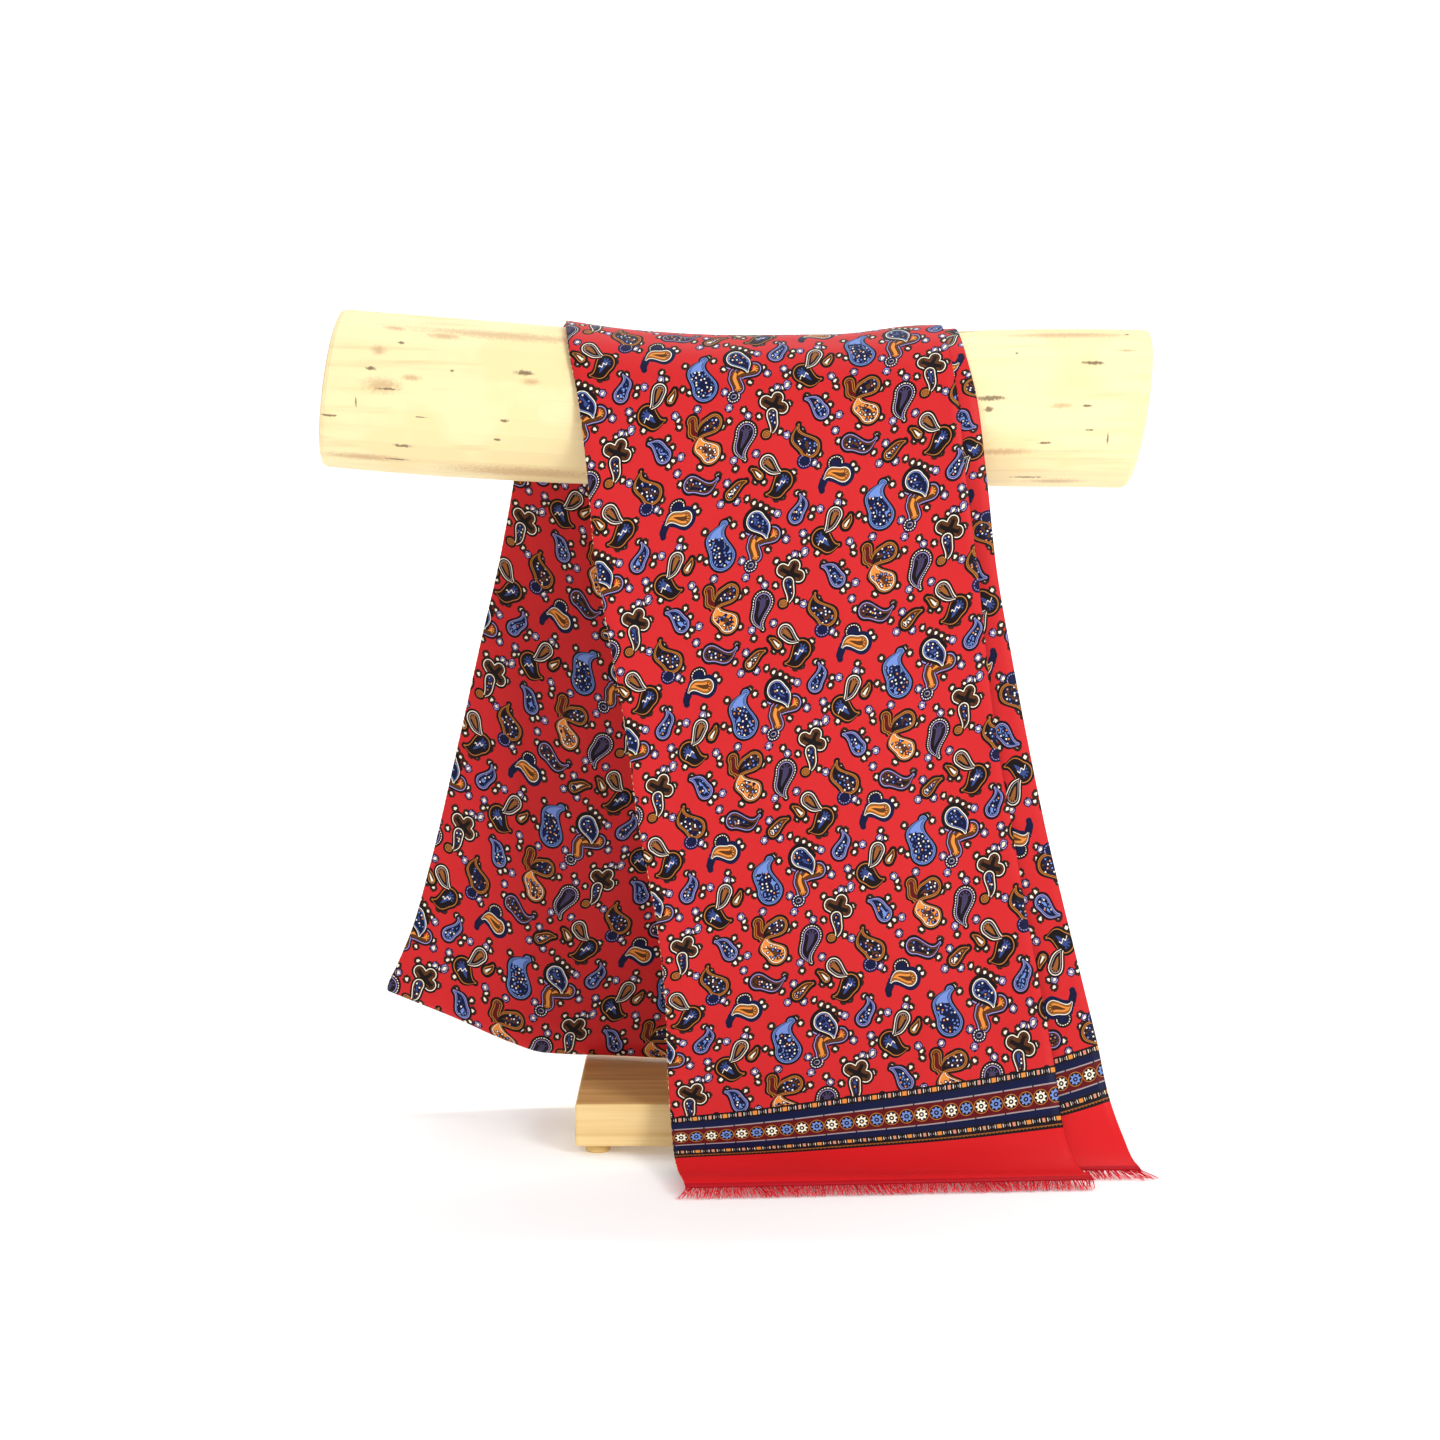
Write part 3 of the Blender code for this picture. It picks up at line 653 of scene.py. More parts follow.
# %% Start the print: where a place lies in the repeat
silk = plain_material("printed_silk", (0.72, 0.03, 0.035), 0.45)
ink = Graph(silk)
flat_map = ink.add("UVMap", uv_map="cloth")
flat_mm = ink.scaled(flat_map, 1.0 / MM)
round_mm, along_mm = flat_mm.part(0), flat_mm.part(1)
PRINT_LEFT, PRINT_TOP = 74.4, 371.0
charted = ink.vector("MULTIPLY_ADD", flat_mm, (1.0, -1.0, 0.0), (-PRINT_LEFT, PRINT_TOP, 0.0))
place = ink.vector("WRAP", charted, (REPEAT, REPEAT, 1.0), (0.0, 0.0, -1.0))
print("the chart starts", PRINT_LEFT, "mm from the seam")


# %% [markdown]
# Trying every teardrop at every place would be slow, so the tile is cut into bands of small
# cells first. Plain Python works out which shapes reach into each cell, and one colour ramp for
# each band keeps the answer, as up to four numbers a cell. The shader then tries those few.

# %% Sort the shapes into cells
BANDS, COLUMNS = 10, 30
BAND_HEIGHT, COLUMN_WIDTH = REPEAT / BANDS, REPEAT / COLUMNS
STOPS = 32.0      # the most stops that a ramp can hold
BOWING = 6.75     # makes a bow of 1 reach 1 mm, two thirds of the way to the tip


def spine_point(drop, share):
    """A point on a teardrop's spine, which leaves the body straight and bows towards the tip."""
    body, tip, bow = Vector(drop[0]), Vector(drop[1]), drop[2]
    along = tip - body
    aside = Vector((-along.y, along.x)).normalized()
    return body + along * share + aside * (BOWING * bow * share * share * (1.0 - share))


def wrapped(distance):
    """A distance along one side of the repeat, to the nearest copy of what it leads to."""
    return (distance + REPEAT / 2.0) % REPEAT - REPEAT / 2.0


def drop_discs(drop):
    """Discs that cover an outlined teardrop."""
    return [(*spine_point(drop, k / 8), drop[5] + drop[3] + (drop[4] - drop[3]) * (k / 8) ** 2)
            for k in range(9)]


def shapes_in_cells(shapes):
    """For each cell, the shapes that reach into it, those that cover most of it first. A shape
    is a list of discs."""
    margin = 0.5
    cover = [{} for _ in range(BANDS * COLUMNS)]
    for number, discs in enumerate(shapes):
        for index, found in enumerate(cover):
            left, top = index % COLUMNS * COLUMN_WIDTH, index // COLUMNS * BAND_HEIGHT
            for x, y, radius in discs:
                reach, half_x, half_y = radius + margin, COLUMN_WIDTH / 2, BAND_HEIGHT / 2
                if (abs(wrapped(left + half_x - x)) > reach + half_x
                        or abs(wrapped(top + half_y - y)) > reach + half_y):
                    continue
                for i in range(3):
                    for j in range(5):
                        away = math.hypot(wrapped(left + i * COLUMN_WIDTH / 2 - x),
                                          wrapped(top + j * BAND_HEIGHT / 4 - y))
                        if away < reach:
                            found[number] = found.get(number, 0.0) + radius + margin - away
    return [sorted(found, key=found.get, reverse=True) for found in cover]


place_x, place_y = place.part(0), place.part(1)
column = ((place_x / COLUMN_WIDTH).math("FLOOR") + 0.5) / STOPS
bands = [place_y > BAND_HEIGHT * k for k in range(1, BANDS)]


def alpha_of(ramp):
    """A ramp's fourth number."""
    return Wire(ink, ramp.socket.node.outputs["Alpha"])


def cell_numbers(cells):
    """Look up each cell's four numbers: one ramp a band, then the right band's."""
    colour = alpha = None
    for band in range(BANDS):
        row = [tuple(numbers) for numbers in cells[band * COLUMNS:(band + 1) * COLUMNS]]
        stops = [(k / STOPS, row[k]) for k in range(COLUMNS) if k == 0 or row[k] != row[k - 1]]
        ramp = ink.add("ValToRGB", (column,), label="table", stops=stops)
        value = alpha_of(ramp)
        if colour is None:
            colour, alpha = ramp, value
        else:
            colour = ink.mix(colour, ramp, bands[band - 1])
            alpha = ink.add("Mix", {0: bands[band - 1], 2: alpha, 3: value})
    return colour.channels() + [alpha]


print("cells:", BANDS * COLUMNS, "of", COLUMN_WIDTH, "by", BAND_HEIGHT, "mm")

# %% [markdown]
# A ramp keeps numbers from 0 to 1 only, so every measure is squeezed into its range first and
# spread out again in the shader. A place without a teardrop gets one whose radius is far below
# zero, so it never wins. Of two that overlap, the one marked as on top wins as far as its outline.

# %% Find the nearest teardrop
REACH = 0.75      # the share of a spine that the search looks at
NOBODY = 31       # the number of an empty place in a cell
NOTHING = (0.0, 0.0, 0.0, 0.0)
FARTHEST = 30.0   # farther than any teardrop
# The least and the most that each kind of number may be; lengths in millimetres.
RADII = (-40.0, 10.0)
TOPS = (-20.0, 5.0)
STEPS = (-32.0, 32.0)
TAPERS = (-10.0, 10.0)
SQUARES = (0.0, 1024.0)
BOWS = (-8.0, 8.0)
UNIT = (-1.0, 1.0)
OUTLINES = (0.0, 4.0)
LENGTHS = (0.0, 32.0)


def squeezed(value, limits):
    return (value - limits[0]) / (limits[1] - limits[0])


def spread(value, limits):
    return value * (limits[1] - limits[0]) + limits[0]


def table(rows, by, nobody=None):
    """A look-up by a teardrop's number, of up to four numbers from 0 to 1 each."""
    rows = list(rows)
    if nobody:
        rows += [NOTHING] * (NOBODY - len(rows)) + [nobody]
    stops = [(k / STOPS, tuple(row) + (1.0,) * (4 - len(row))) for k, row in enumerate(rows)]
    return ink.add("ValToRGB", (by,), label="table", stops=stops)


bodies = [(d[0][0] % REPEAT / REPEAT, d[0][1] % REPEAT / REPEAT) for d in TEARDROPS]
search_a = [at + (squeezed(d[3], RADII), squeezed(d[5], TOPS) if d[8] else 0.0)
            for at, d in zip(bodies, TEARDROPS)]
ends = [spine_point(d, REACH) - Vector(d[0]) for d in TEARDROPS]
search_b = [(squeezed(e.x, STEPS), squeezed(e.y, STEPS), squeezed(REACH * (d[4] - d[3]), TAPERS),
             squeezed(e.length_squared, SQUARES)) for e, d in zip(ends, TEARDROPS)]

cells = shapes_in_cells([drop_discs(drop) for drop in TEARDROPS])
print("cells reached by more than three teardrops:", sum(len(c) > 3 for c in cells))
slots = []
for cell in cells:
    kept = sorted(cell, key=lambda n: -TEARDROPS[n][8])[:3]
    chosen = kept[::-1] + [NOBODY] * 3
    slots.append([(n + 0.5) / STOPS for n in chosen[:3]] + [1.0])
found, which = FARTHEST, (NOBODY + 0.5) / STOPS
for candidate in cell_numbers(slots)[:3]:
    first = table(search_a, candidate, NOTHING)
    second = table(search_b, candidate, (0.5, 0.5, 0.5, 1.0))
    body_x, body_y, radius = first.channels()
    along_x, along_y, taper = second.channels()
    top = spread(alpha_of(first), TOPS)
    squared = alpha_of(second) * SQUARES[1]
    body = ink.add("CombineXYZ", (body_x * REPEAT, body_y * REPEAT))
    along = ink.vector("MULTIPLY_ADD", ink.add("CombineXYZ", (along_x, along_y)),
                       (STEPS[1] - STEPS[0],) * 2 + (0.0,), (STEPS[0],) * 2 + (0.0,))
    offset = ink.vector("WRAP", ink.vector("SUBTRACT", place, body),
                        (REPEAT / 2, REPEAT / 2, 1.0), (-REPEAT / 2, -REPEAT / 2, -1.0))
    share = ink.vector("DOT_PRODUCT", offset, along, output=1).math("DIVIDE", squared, clamp=True)
    away = ink.vector("DISTANCE", offset, ink.scaled(along, share), output=1)
    away = away - spread(radius, RADII) - share * spread(taper, TAPERS)
    wins = away < top.math("MAXIMUM", found)
    which = ink.add("Mix", {0: wins, 2: which, 3: candidate})
    found = away.math("MINIMUM", found)

# %% [markdown]
# The search works with straight spines. For the winner, the bowed shape is worked out in full:
# `share` is the place along its spine and `depth` the distance outside its edge, less than 0 inside.

# %% Read its shape from tables
spines = [Vector(d[1]) - Vector(d[0]) for d in TEARDROPS]
shape_a = table([at + (squeezed(d[5], OUTLINES),) for at, d in zip(bodies, TEARDROPS)], which,
                (0.0, 0.0, 0.0))
shape_b = table([(squeezed(s.x / s.length, UNIT), squeezed(s.y / s.length, UNIT),
                  squeezed(s.length, LENGTHS)) for s in spines], which)
shape_c = table([(squeezed(d[2], BOWS), squeezed(d[3], RADII), squeezed(d[4], RADII))
                 for d in TEARDROPS], which, (0.5, 0.0, 0.0))
extras = table([(d[6], d[7], 0.0) for d in TEARDROPS], which)

body_x, body_y, outline_width = shape_a.channels()
ahead_x, ahead_y, length = shape_b.channels()
bow, body_radius, tip_radius = shape_c.channels()
seeded, beaded = extras.channels()[:2]
half = REPEAT / 2.0
offset_x = (place_x - body_x * REPEAT).math("WRAP", half, -half)
offset_y = (place_y - body_y * REPEAT).math("WRAP", half, -half)
ahead_x, ahead_y = spread(ahead_x, UNIT), spread(ahead_y, UNIT)
outline_width, length = outline_width * OUTLINES[1], length * LENGTHS[1]
bow, body_radius, tip_radius = spread(bow, BOWS), spread(body_radius, RADII), spread(tip_radius, RADII)
ahead = offset_x * ahead_x + offset_y * ahead_y
aside = offset_y * ahead_x - offset_x * ahead_y
share = ahead.math("DIVIDE", length, clamp=True)
aside = aside - bow * BOWING * share * share * (1.0 - share)
past = ahead - share * length
width = body_radius + (tip_radius - body_radius) * share * share
depth = (aside * aside + past * past).math("SQRT") - width
print("longest spine:", round(max(spine.length for spine in spines), 1), "mm")

# %% [markdown]
# Each teardrop is printed as rings: a pale or beaded line at its edge, a dark line, a band of one
# colour or two, and a core with rays. Some hold seeds. Small hearts, which are little more than
# dots at this size, fill the ground between the teardrops.

# %% Scatter the hearts
HEART_PLACES = (-10.0, 110.0)
OUTSIDE = Vector((-9.0, -9.0))     # where the missing hearts of a cell go
BROWN_EDGE, PLUM_EDGE = linear(50, 26, 18), linear(40, 22, 40)


def nearest_of(distances):
    """The least of some sockets."""
    nearest = distances[0]
    for distance in distances[1:]:
        nearest = nearest.math("MINIMUM", distance)
    return nearest


def hearts(colour, places, rings):
    """Hearts as small discs: rings of colour by the distance from the nearest one's middle."""
    cells = shapes_in_cells([[(*place, rings[0][0])] for place in places])
    numbers = []
    for index, cell in enumerate(cells):
        x, y = (index % COLUMNS + 0.5) * COLUMN_WIDTH, (index // COLUMNS + 0.5) * BAND_HEIGHT
        spots = [Vector((x - wrapped(x - places[n][0]), y - wrapped(y - places[n][1])))
                 for n in cell[:2]]
        spots += [OUTSIDE] * (2 - len(spots))
        numbers.append([squeezed(value, HEART_PLACES) for spot in spots for value in spot])
    found_x, found_y, other_x, other_y = cell_numbers(numbers)
    distances = []
    for x, y in ((found_x, found_y), (other_x, other_y)):
        x, y = place_x - spread(x, HEART_PLACES), place_y - spread(y, HEART_PLACES)
        distances.append((x * x + y * y).math("SQRT"))
    uneven = (place_x * 2.3).math("SINE") * (place_y * 2.7).math("SINE") * 0.3
    nearest = nearest_of(distances) + uneven
    for reach, paint in rings:
        colour = ink.mix(colour, paint, nearest < reach)
    print(len(places), "hearts; cells with more than two:", sum(len(c) > 2 for c in cells))
    return colour


scatter = hearts(RED, BROWN_HEARTS, [(2.45, BROWN_EDGE), (0.9, CREAM)])
scatter = hearts(scatter, LILAC_HEARTS, [(2.6, PLUM_EDGE), (1.75, LILAC), (1.3, INK), (0.9, CREAM)])

# %% Paint the rings of colour
RINGS = [0.0, -0.85, -1.25, -1.65]     # the depths where layers 1 to 4 start
DARK_LINE = -0.5
BEAD_RATE, BEAD_GAP = 4.2, -0.2        # radians per millimetre round the edge; beads above the sine
RAYS, RAY_GAP = 9.0, -0.1
RAYS_FROM, CORE_FROM = -0.42, -0.7     # parts of the body's radius
SEED_CELLS = 400.0                     # to the metre
SEEDS_FROM, SEEDS_END, SEED_SIZE = -1.5, 0.6, 0.2


def layer(k):
    """The colour of one layer of the teardrop that was found."""
    return table([d[9][k] for d in TEARDROPS], which)


round_edge = share * length - abs(aside).math("ARCTAN2", past) * width
beads = (round_edge * BEAD_RATE).math("SINE") > BEAD_GAP
beaded = beads.math("MAXIMUM", 1.0 - beaded)
paint = ink.mix(layer(0), layer(1), (depth < RINGS[0]) * beaded)
paint = ink.mix(paint, INK, depth < DARK_LINE)
for k in (1, 2, 3):
    paint = ink.mix(paint, layer(k + 1), depth < RINGS[k])
rays = (aside.math("ARCTAN2", ahead) * RAYS).math("COSINE") > RAY_GAP
core = rays * (ahead < 0.0) * (depth < body_radius * RAYS_FROM)
core = core.math("MAXIMUM", depth < body_radius * CORE_FROM)
paint = ink.mix(paint, layer(5), core)
print("nodes up to the rings:", len(silk.node_tree.nodes))

# %% Strew the seeds
to_seed = ink.add("TexVoronoi", {"Vector": flat_map, "Scale": SEED_CELLS, "Randomness": 0.8},
                  voronoi_dimensions="2D")
tint = Wire(ink, to_seed.socket.node.outputs["Color"]).channels()[0]
inside = (depth < SEEDS_FROM) * (seeded > 0.1) * (share < SEEDS_END)
paint = ink.mix(paint, NAVY, inside * (to_seed < seeded))
seed = ink.mix(ink.mix(CREAM, BLUE, tint > 0.6), ORANGE, tint > 0.85)
paint = ink.mix(paint, seed, inside * (to_seed < SEED_SIZE) * (tint > 0.2))
print("teardrops with seeds:", sum(drop[6] > 0 for drop in TEARDROPS))

# %% Add the white waves inside the night-coloured teardrops
WHITE_WAVES = [(26.3, 58.0), (46.4, 3.0)]
HALF_LENGTH, HALF_WIDTH, SLOPE = 2.6, 0.34, 0.35
for x, y in WHITE_WAVES:
    wave_x, wave_y = place_x - x, place_y - y + (place_x * 2.4).math("SINE") * 0.7
    stroke = (abs(wave_x) < HALF_LENGTH) * (abs(wave_y + wave_x * SLOPE) < HALF_WIDTH)
    paint = ink.mix(paint, CREAM, stroke)
drops = paint
print("waves:", len(WHITE_WAVES))

# %% [markdown]
# ## The border
# Across each end runs a band, set out by the distance from the hem: lines of little squares, navy
# stripes, thin pale lines, and a maroon row of rosettes that are cream and blue by turns. Beyond
# the band the silk is plain.

# %% Paint the band and the plain margin
from_hem = along_mm.math("MINIMUM", FLAT_LENGTH - along_mm)
BAND = 72.8
down_band = BAND - from_hem
PITCH = 8.12
step = round_mm / PITCH
cell = step.math("FLOOR")
in_cell = (step - cell - 0.5) * PITCH
odd = (cell * 0.5).math("FRACT") > 0.25

# The second red is darker: painted shade along each hem, where the cloth curls under.
PLAIN_RED, HEM_SHADE_RED = linear(214, 27, 32), linear(176, 13, 27)
HEM_SHADE_WIDTH = 2.6
# Where each stripe starts, below the first one, which is navy.
STRIPES = [(8.2, STONE), (8.9, MAROON), (20.3, STONE), (21.0, NAVY), (29.0, DIM_GOLD), (31.2, INK),
           (32.2, PLAIN_RED)]
paint = NAVY
for top, colour in STRIPES:
    paint = ink.mix(paint, colour, down_band > top)


print("stripes:", len(STRIPES) + 1)


# %% Rule the lines of squares
def rule(colour, low, high, mask=None):
    """A stripe between two places of the band, where the mask lets it through."""
    inside_rule = (down_band > low) * (down_band < high)
    return ink.mix(paint, colour, inside_rule if mask is None else inside_rule * mask)


# Two lines of squares, each with a cream and a grey bar on both sides.
SQUARE_LINES = (0.3, 25.0)
BAR_HALF = 0.2
for top in SQUARE_LINES:
    paint = rule(INK, top - 0.3, top + 3.9)
    paint = rule(ink.mix(PINK, ORANGE, odd), top + 0.7, top + 3.0, abs(in_cell) < odd * 0.4 + 0.8)
    for colour, away, inset in ((CREAM, 2.2, 0.8), (STONE, 3.3, 1.2)):
        paint = rule(colour, top + inset, top + 3.7 - inset, abs(abs(in_cell) - away) < BAR_HALF)
rope = (round_mm * 3.1).math("SINE") * 0.3
paint = rule(INK, 29.0, 29.8)
paint = rule(INK, 30.6 + rope, 31.3)
pair = (step * 0.5).math("FRACT")
for top in (8.0, 20.2):
    paint = rule(NAVY, top, top + 1.0, pair < 0.05)
print("squares across one face:", round(FLAT_WIDTH / PITCH))

# %% Set the rosettes in their row
ROW_TOP, ROW_MIDDLE, ROW_END = 9.2, 14.6, 20.0
PETALS = 8.0
up_cell = down_band - ROW_MIDDLE
ray = (in_cell * in_cell + up_cell * up_cell).math("SQRT")
turn = in_cell.math("ARCTAN2", up_cell)
petal = 2.6 + (turn * PETALS).math("COSINE") * 0.55
in_row = (down_band > ROW_TOP) * (down_band < ROW_END)
rosette = ink.mix(CREAM, BLUE, odd)
for reach, colour in ((4.0, GOLD), (3.6, INK), (petal, rosette), (1.35, INK), (0.55, rosette)):
    paint = ink.mix(paint, colour, in_row * (ray < reach))
# Painted shade: a darker red strip along each hem, where the cloth curls down away from the light.
paint = ink.mix(paint, HEM_SHADE_RED, from_hem < HEM_SHADE_WIDTH)
print("nodes up to the border:", len(silk.node_tree.nodes))

# %% [markdown]
# ## The silk itself
# The ground with its hearts, the teardrops, and the border are three prints, each on a Principled
# shader of its own, in place of the one that the material began with. Mix Shaders choose between
# them, so the renderer works out only what it needs. All share the fine diagonal weave and the
# soft lustre.

# %% Give the silk its weave
weave = ink.add("TexWave", {"Vector": flat_map, "Scale": 550.0, "Distortion": 0.4, "Detail": 1.0},
                bands_direction="DIAGONAL")
bump = ink.add("Bump", {"Height": weave, "Strength": 0.15, "Distance": 0.00005})
SILK_SHINE, SILK_ROUGHNESS = 0.13, 0.45
lustres = [ink.add("BsdfPrincipled", {"Base Color": colour, "Roughness": SILK_ROUGHNESS,
                                      "Specular IOR Level": SILK_SHINE, "Normal": bump})
           for colour in (scatter, drops, paint)]
body = ink.add("MixShader", {0: depth < outline_width, 1: lustres[0], 2: lustres[1]})
whole = ink.add("MixShader", {0: from_hem < BAND, 1: body, 2: lustres[2]})
ink.feed(silk.node_tree.nodes["Material Output"].inputs["Surface"], whole)
silk.node_tree.nodes.remove(ink.shader)
print("nodes in the print:", len(silk.node_tree.nodes))

# %% [markdown]
# ## The silk shell
# The tube's two plies lie against each other, so going round it is going across one face, round
# the folded edge, and back across the other face to the seam. One grid is bent into that flat
# ring: each of its columns is a lengthwise line, pushed out along the cloth's normal to one ply
# or the other. Solidify then gives the silk its own thickness.

# %% Bend a grid into the flat tube
ACROSS_CELLS = 44
PLY_OFFSET = 0.36      # middle of a ply from the middle of the tube
SILK = 0.26
EDGE_ROUND = 0.5       # how far in from the edge a ply starts to turn round it
SEAM_SIDE = 0.12       # how far the seam's edges stand off the middle, in parts of PLY_OFFSET


def ring_of_places():
    """Where each column lies: its place across, the side of its ply, and its place round the tube."""
    edge = EDGE_ROUND / FLAT_WIDTH
    inner = [edge + (1.0 - 2.0 * edge) * k / ACROSS_CELLS for k in range(ACROSS_CELLS + 1)]
    upper = [(u, 1.0, u * FLAT_WIDTH) for u in inner]
    lower = [(u, -1.0, (2.0 - u) * FLAT_WIDTH) for u in reversed(inner)]
    return ([(0.0, SEAM_SIDE, 0.0)] + upper + [(1.0, 0.0, FLAT_WIDTH)] + lower
            + [(0.0, -SEAM_SIDE, 2.0 * FLAT_WIDTH)])


RING = ring_of_places()
LINE_PLACES = sorted({place[0] for place in RING})
lines = {u: curve_through(whole_line(u), SPAN_CELLS) for u in LINE_PLACES}


def normals_of(places, lines):
    """The cloth's normal on every line, from its neighbours across and along."""
    result = {}
    for n, u in enumerate(places):
        left, right = lines[places[max(n - 1, 0)]], lines[places[min(n + 1, len(places) - 1)]]
        line = lines[u]
        found = []
        for j in range(len(line)):
            along = line[min(j + 1, len(line) - 1)] - line[max(j - 1, 0)]
            found.append((right[j] - left[j]).cross(along).normalized())
        result[u] = found
    return result


normals = normals_of(LINE_PLACES, lines)
print("columns round the tube:", len(RING))


# %% Small unevenness that only a thin shell shows
SOFT_FOLDS = [
    # across, half_width, from, to, lift
    (1.02, 0.07, 300, 440, 2.4),     # the right edge stands off below the log
    (0.93, 0.05, 120, 330, -0.8),
    (0.62, 0.11, 150, 420, 0.5),
    (0.3, 0.09, 4, 36, 0.6),     # ripples of the plain margin
    (0.52, 0.06, 2, 30, -0.5),
    (0.78, 0.07, 6, 40, 0.6),
    (0.25, 0.08, 640, 900, 0.8),     # behind
    (0.7, 0.06, 600, 820, -0.7),
    (0.4, 0.07, 1010, 1250, 0.5),
    (0.75, 0.06, 1900, 1934, 0.5),     # the lower margin
]
PUCKER, PUCKER_WIDTH, WAVINESS = 0.16, 5.0, 0.25


def unevenness(across, flat):
    """How far the cloth stands off its plain form, in millimetres: a pucker at the sewn edge,
    slow, shallow waves and the soft folds that are listed."""
    pucker = PUCKER * math.exp(-across * FLAT_WIDTH / PUCKER_WIDTH) * math.sin(flat * 0.72)
    lift = pucker + WAVINESS * (math.sin(flat * 0.043 + across * 5.0)
                                * math.sin(across * 9.0 + flat * 0.011)) * smooth(flat / 60.0)
    for place, half_width, start, end, height in SOFT_FOLDS:
        if start < flat < end:
            along = math.sin(math.pi * (flat - start) / (end - start)) ** 2
            lift += height * along * math.exp(-((across - place) / half_width) ** 2)
    return lift


shell = bmesh.new()
uv_layer = shell.loops.layers.uv.new("cloth")
bmesh.ops.create_grid(shell, x_segments=len(RING) - 1, y_segments=ROWS, size=1.0)
flat_of = {}
for u in LINE_PLACES:
    line, run = lines[u], [0.0]
    for a, b in zip(line, line[1:]):
        run.append(run[-1] + (b - a).length)
    flat_of[u] = [flat_place(u, length, run[-1]) for length in run]
for vertex in shell.verts:
    i = round((vertex.co.x + 1.0) / 2.0 * (len(RING) - 1))
    j = round((vertex.co.y + 1.0) / 2.0 * ROWS)
    u, side, _round = RING[i]
    lift = side * PLY_OFFSET + unevenness(u, flat_of[u][j])
    vertex.co = lines[u][j] + normals[u][j] * lift
    vertex.index = i * (ROWS + 1) + j
for face in shell.faces:
    for loop in face.loops:
        i, j = divmod(loop.vert.index, ROWS + 1)
        u, _side, place_round = RING[i]
        flat = flat_of[u][j]
        drift = read_table(SIDE_DRIFT, flat, 1)
        loop[uv_layer].uv = ((place_round + drift) * MM, flat * MM)
bmesh.ops.translate(shell, verts=shell.verts, vec=(0.0, LOG_Y, 0.0))

scarf = finished("scarf", shell, silk, unit=MM)
thickness = scarf.modifiers.new("silk", "SOLIDIFY")
thickness.thickness = SILK * MM
thickness.offset = 0.0

# %% Hand the piece to the frame
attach(scarf, "root")
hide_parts("scarf_outer_front", "scarf_outer_rear", "scarf_fold", "scarf_inner_rear",
            "scarf_inner_front")
print("scarf rides root and stands for the five stretches of cloth")

# %% [markdown]
# ## The frayed ends
# Below each hem the crosswise threads have been pulled out, so only the lengthwise ones are left.
# Each is a three-sided, tapering sliver, a little bent as it falls. Two numbers are kept on
# its points for the colour: which thread it is, and how far along it.

# %% Make one thread
THREAD_ROOT, THREAD_TIP = 0.24, 0.15     # radii


def threads_cloth():
    """An empty bmesh whose points carry a thread's number and the place along it."""
    cloth = bmesh.new()
    cloth.verts.layers.float.new("tint")
    cloth.verts.layers.float.new("along")
    return cloth


sliver = threads_cloth()
bmesh.ops.create_cone(sliver, segments=3, radius1=1.0, radius2=1.0, depth=1.0, cap_ends=True)
long_edges = [e for e in sliver.edges if abs(e.verts[0].co.z - e.verts[1].co.z) > 0.5]
bmesh.ops.subdivide_edges(sliver, edges=long_edges, cuts=2)
SLIVER = bpy.data.meshes.new("sliver")
sliver.to_mesh(SLIVER)
sliver.free()


def thread(cloth, start, reach, bend, tint, root=THREAD_ROOT, tip=THREAD_TIP):
    """One thread from a start along `reach`, its middle pushed aside by `bend`."""
    first = len(cloth.verts)
    cloth.from_mesh(SLIVER)
    cloth.verts.ensure_lookup_table()
    tint_layer, along_layer = (cloth.verts.layers.float[name] for name in ("tint", "along"))
    turn = Vector((0.0, 0.0, 1.0)).rotation_difference(reach.normalized())
    for vertex in cloth.verts[first:]:
        share = vertex.co.z + 0.5
        radius = root + (tip - root) * share
        around = turn @ Vector((vertex.co.x * radius, vertex.co.y * radius, 0.0))
        vertex[tint_layer], vertex[along_layer] = tint, share
        vertex.co = start + reach * share + bend * (4.0 * share * (1.0 - share)) + around


print("points in a thread:", len(SLIVER.vertices))


# %% Fray the two ends
LEFT_LEAN = -1.1                         # how far the threads of the left corner lean out
RIGHT_CORNER, LEFT_CORNER = 22.0, 10.0   # how far in from the edge a corner's lean begins


def hem_at(hem, across):
    """Where a hem lies at a place across, between its lengthwise lines."""
    right = next(k for k, u in enumerate(LINE_PLACES) if u >= across)
    left = max(right - 1, 0)
    span = LINE_PLACES[right] - LINE_PLACES[left]
    t = (across - LINE_PLACES[left]) / span if span else 0.0
    return lines[LINE_PLACES[left]][hem].lerp(lines[LINE_PLACES[right]][hem], t)


def frayed_end(name, hem, count, corner_sweep, seed):
    """The threads of one hem. Each hangs from its own place, a little unlike its neighbours."""
    pick = random.Random(seed)
    cloth = threads_cloth()
    corner = hem_at(hem, 1.0)
    for k in range(count):
        root = hem_at(hem, min(max((k + pick.uniform(0.1, 0.9)) / count, 0.0), 1.0))
        drop = root.z - 0.5 - pick.uniform(0.1, 1.6) * pick.random()
        sweep = corner_sweep * smooth(1.0 - (corner.x - root.x) / RIGHT_CORNER)
        left = LEFT_LEAN * smooth(1.0 - (root.x - hem_at(hem, 0.0).x) / LEFT_CORNER)
        lean = 0.35 + 0.4 * math.sin(root.x * 0.11) + pick.gauss(0.0, 0.33) + sweep + left
        reach = Vector((lean * drop, -drop * pick.uniform(0.15, 0.75), -drop))
        bend = Vector((pick.gauss(0.0, 0.35), -abs(pick.gauss(0.0, 0.3)), 0.0))
        start = root + Vector((0.0, LOG_Y + 0.8, pick.uniform(-0.35, 0.35)))
        thread(cloth, start, reach, bend, pick.random())
    return finished(name, cloth, floss, smooth=False, unit=MM)


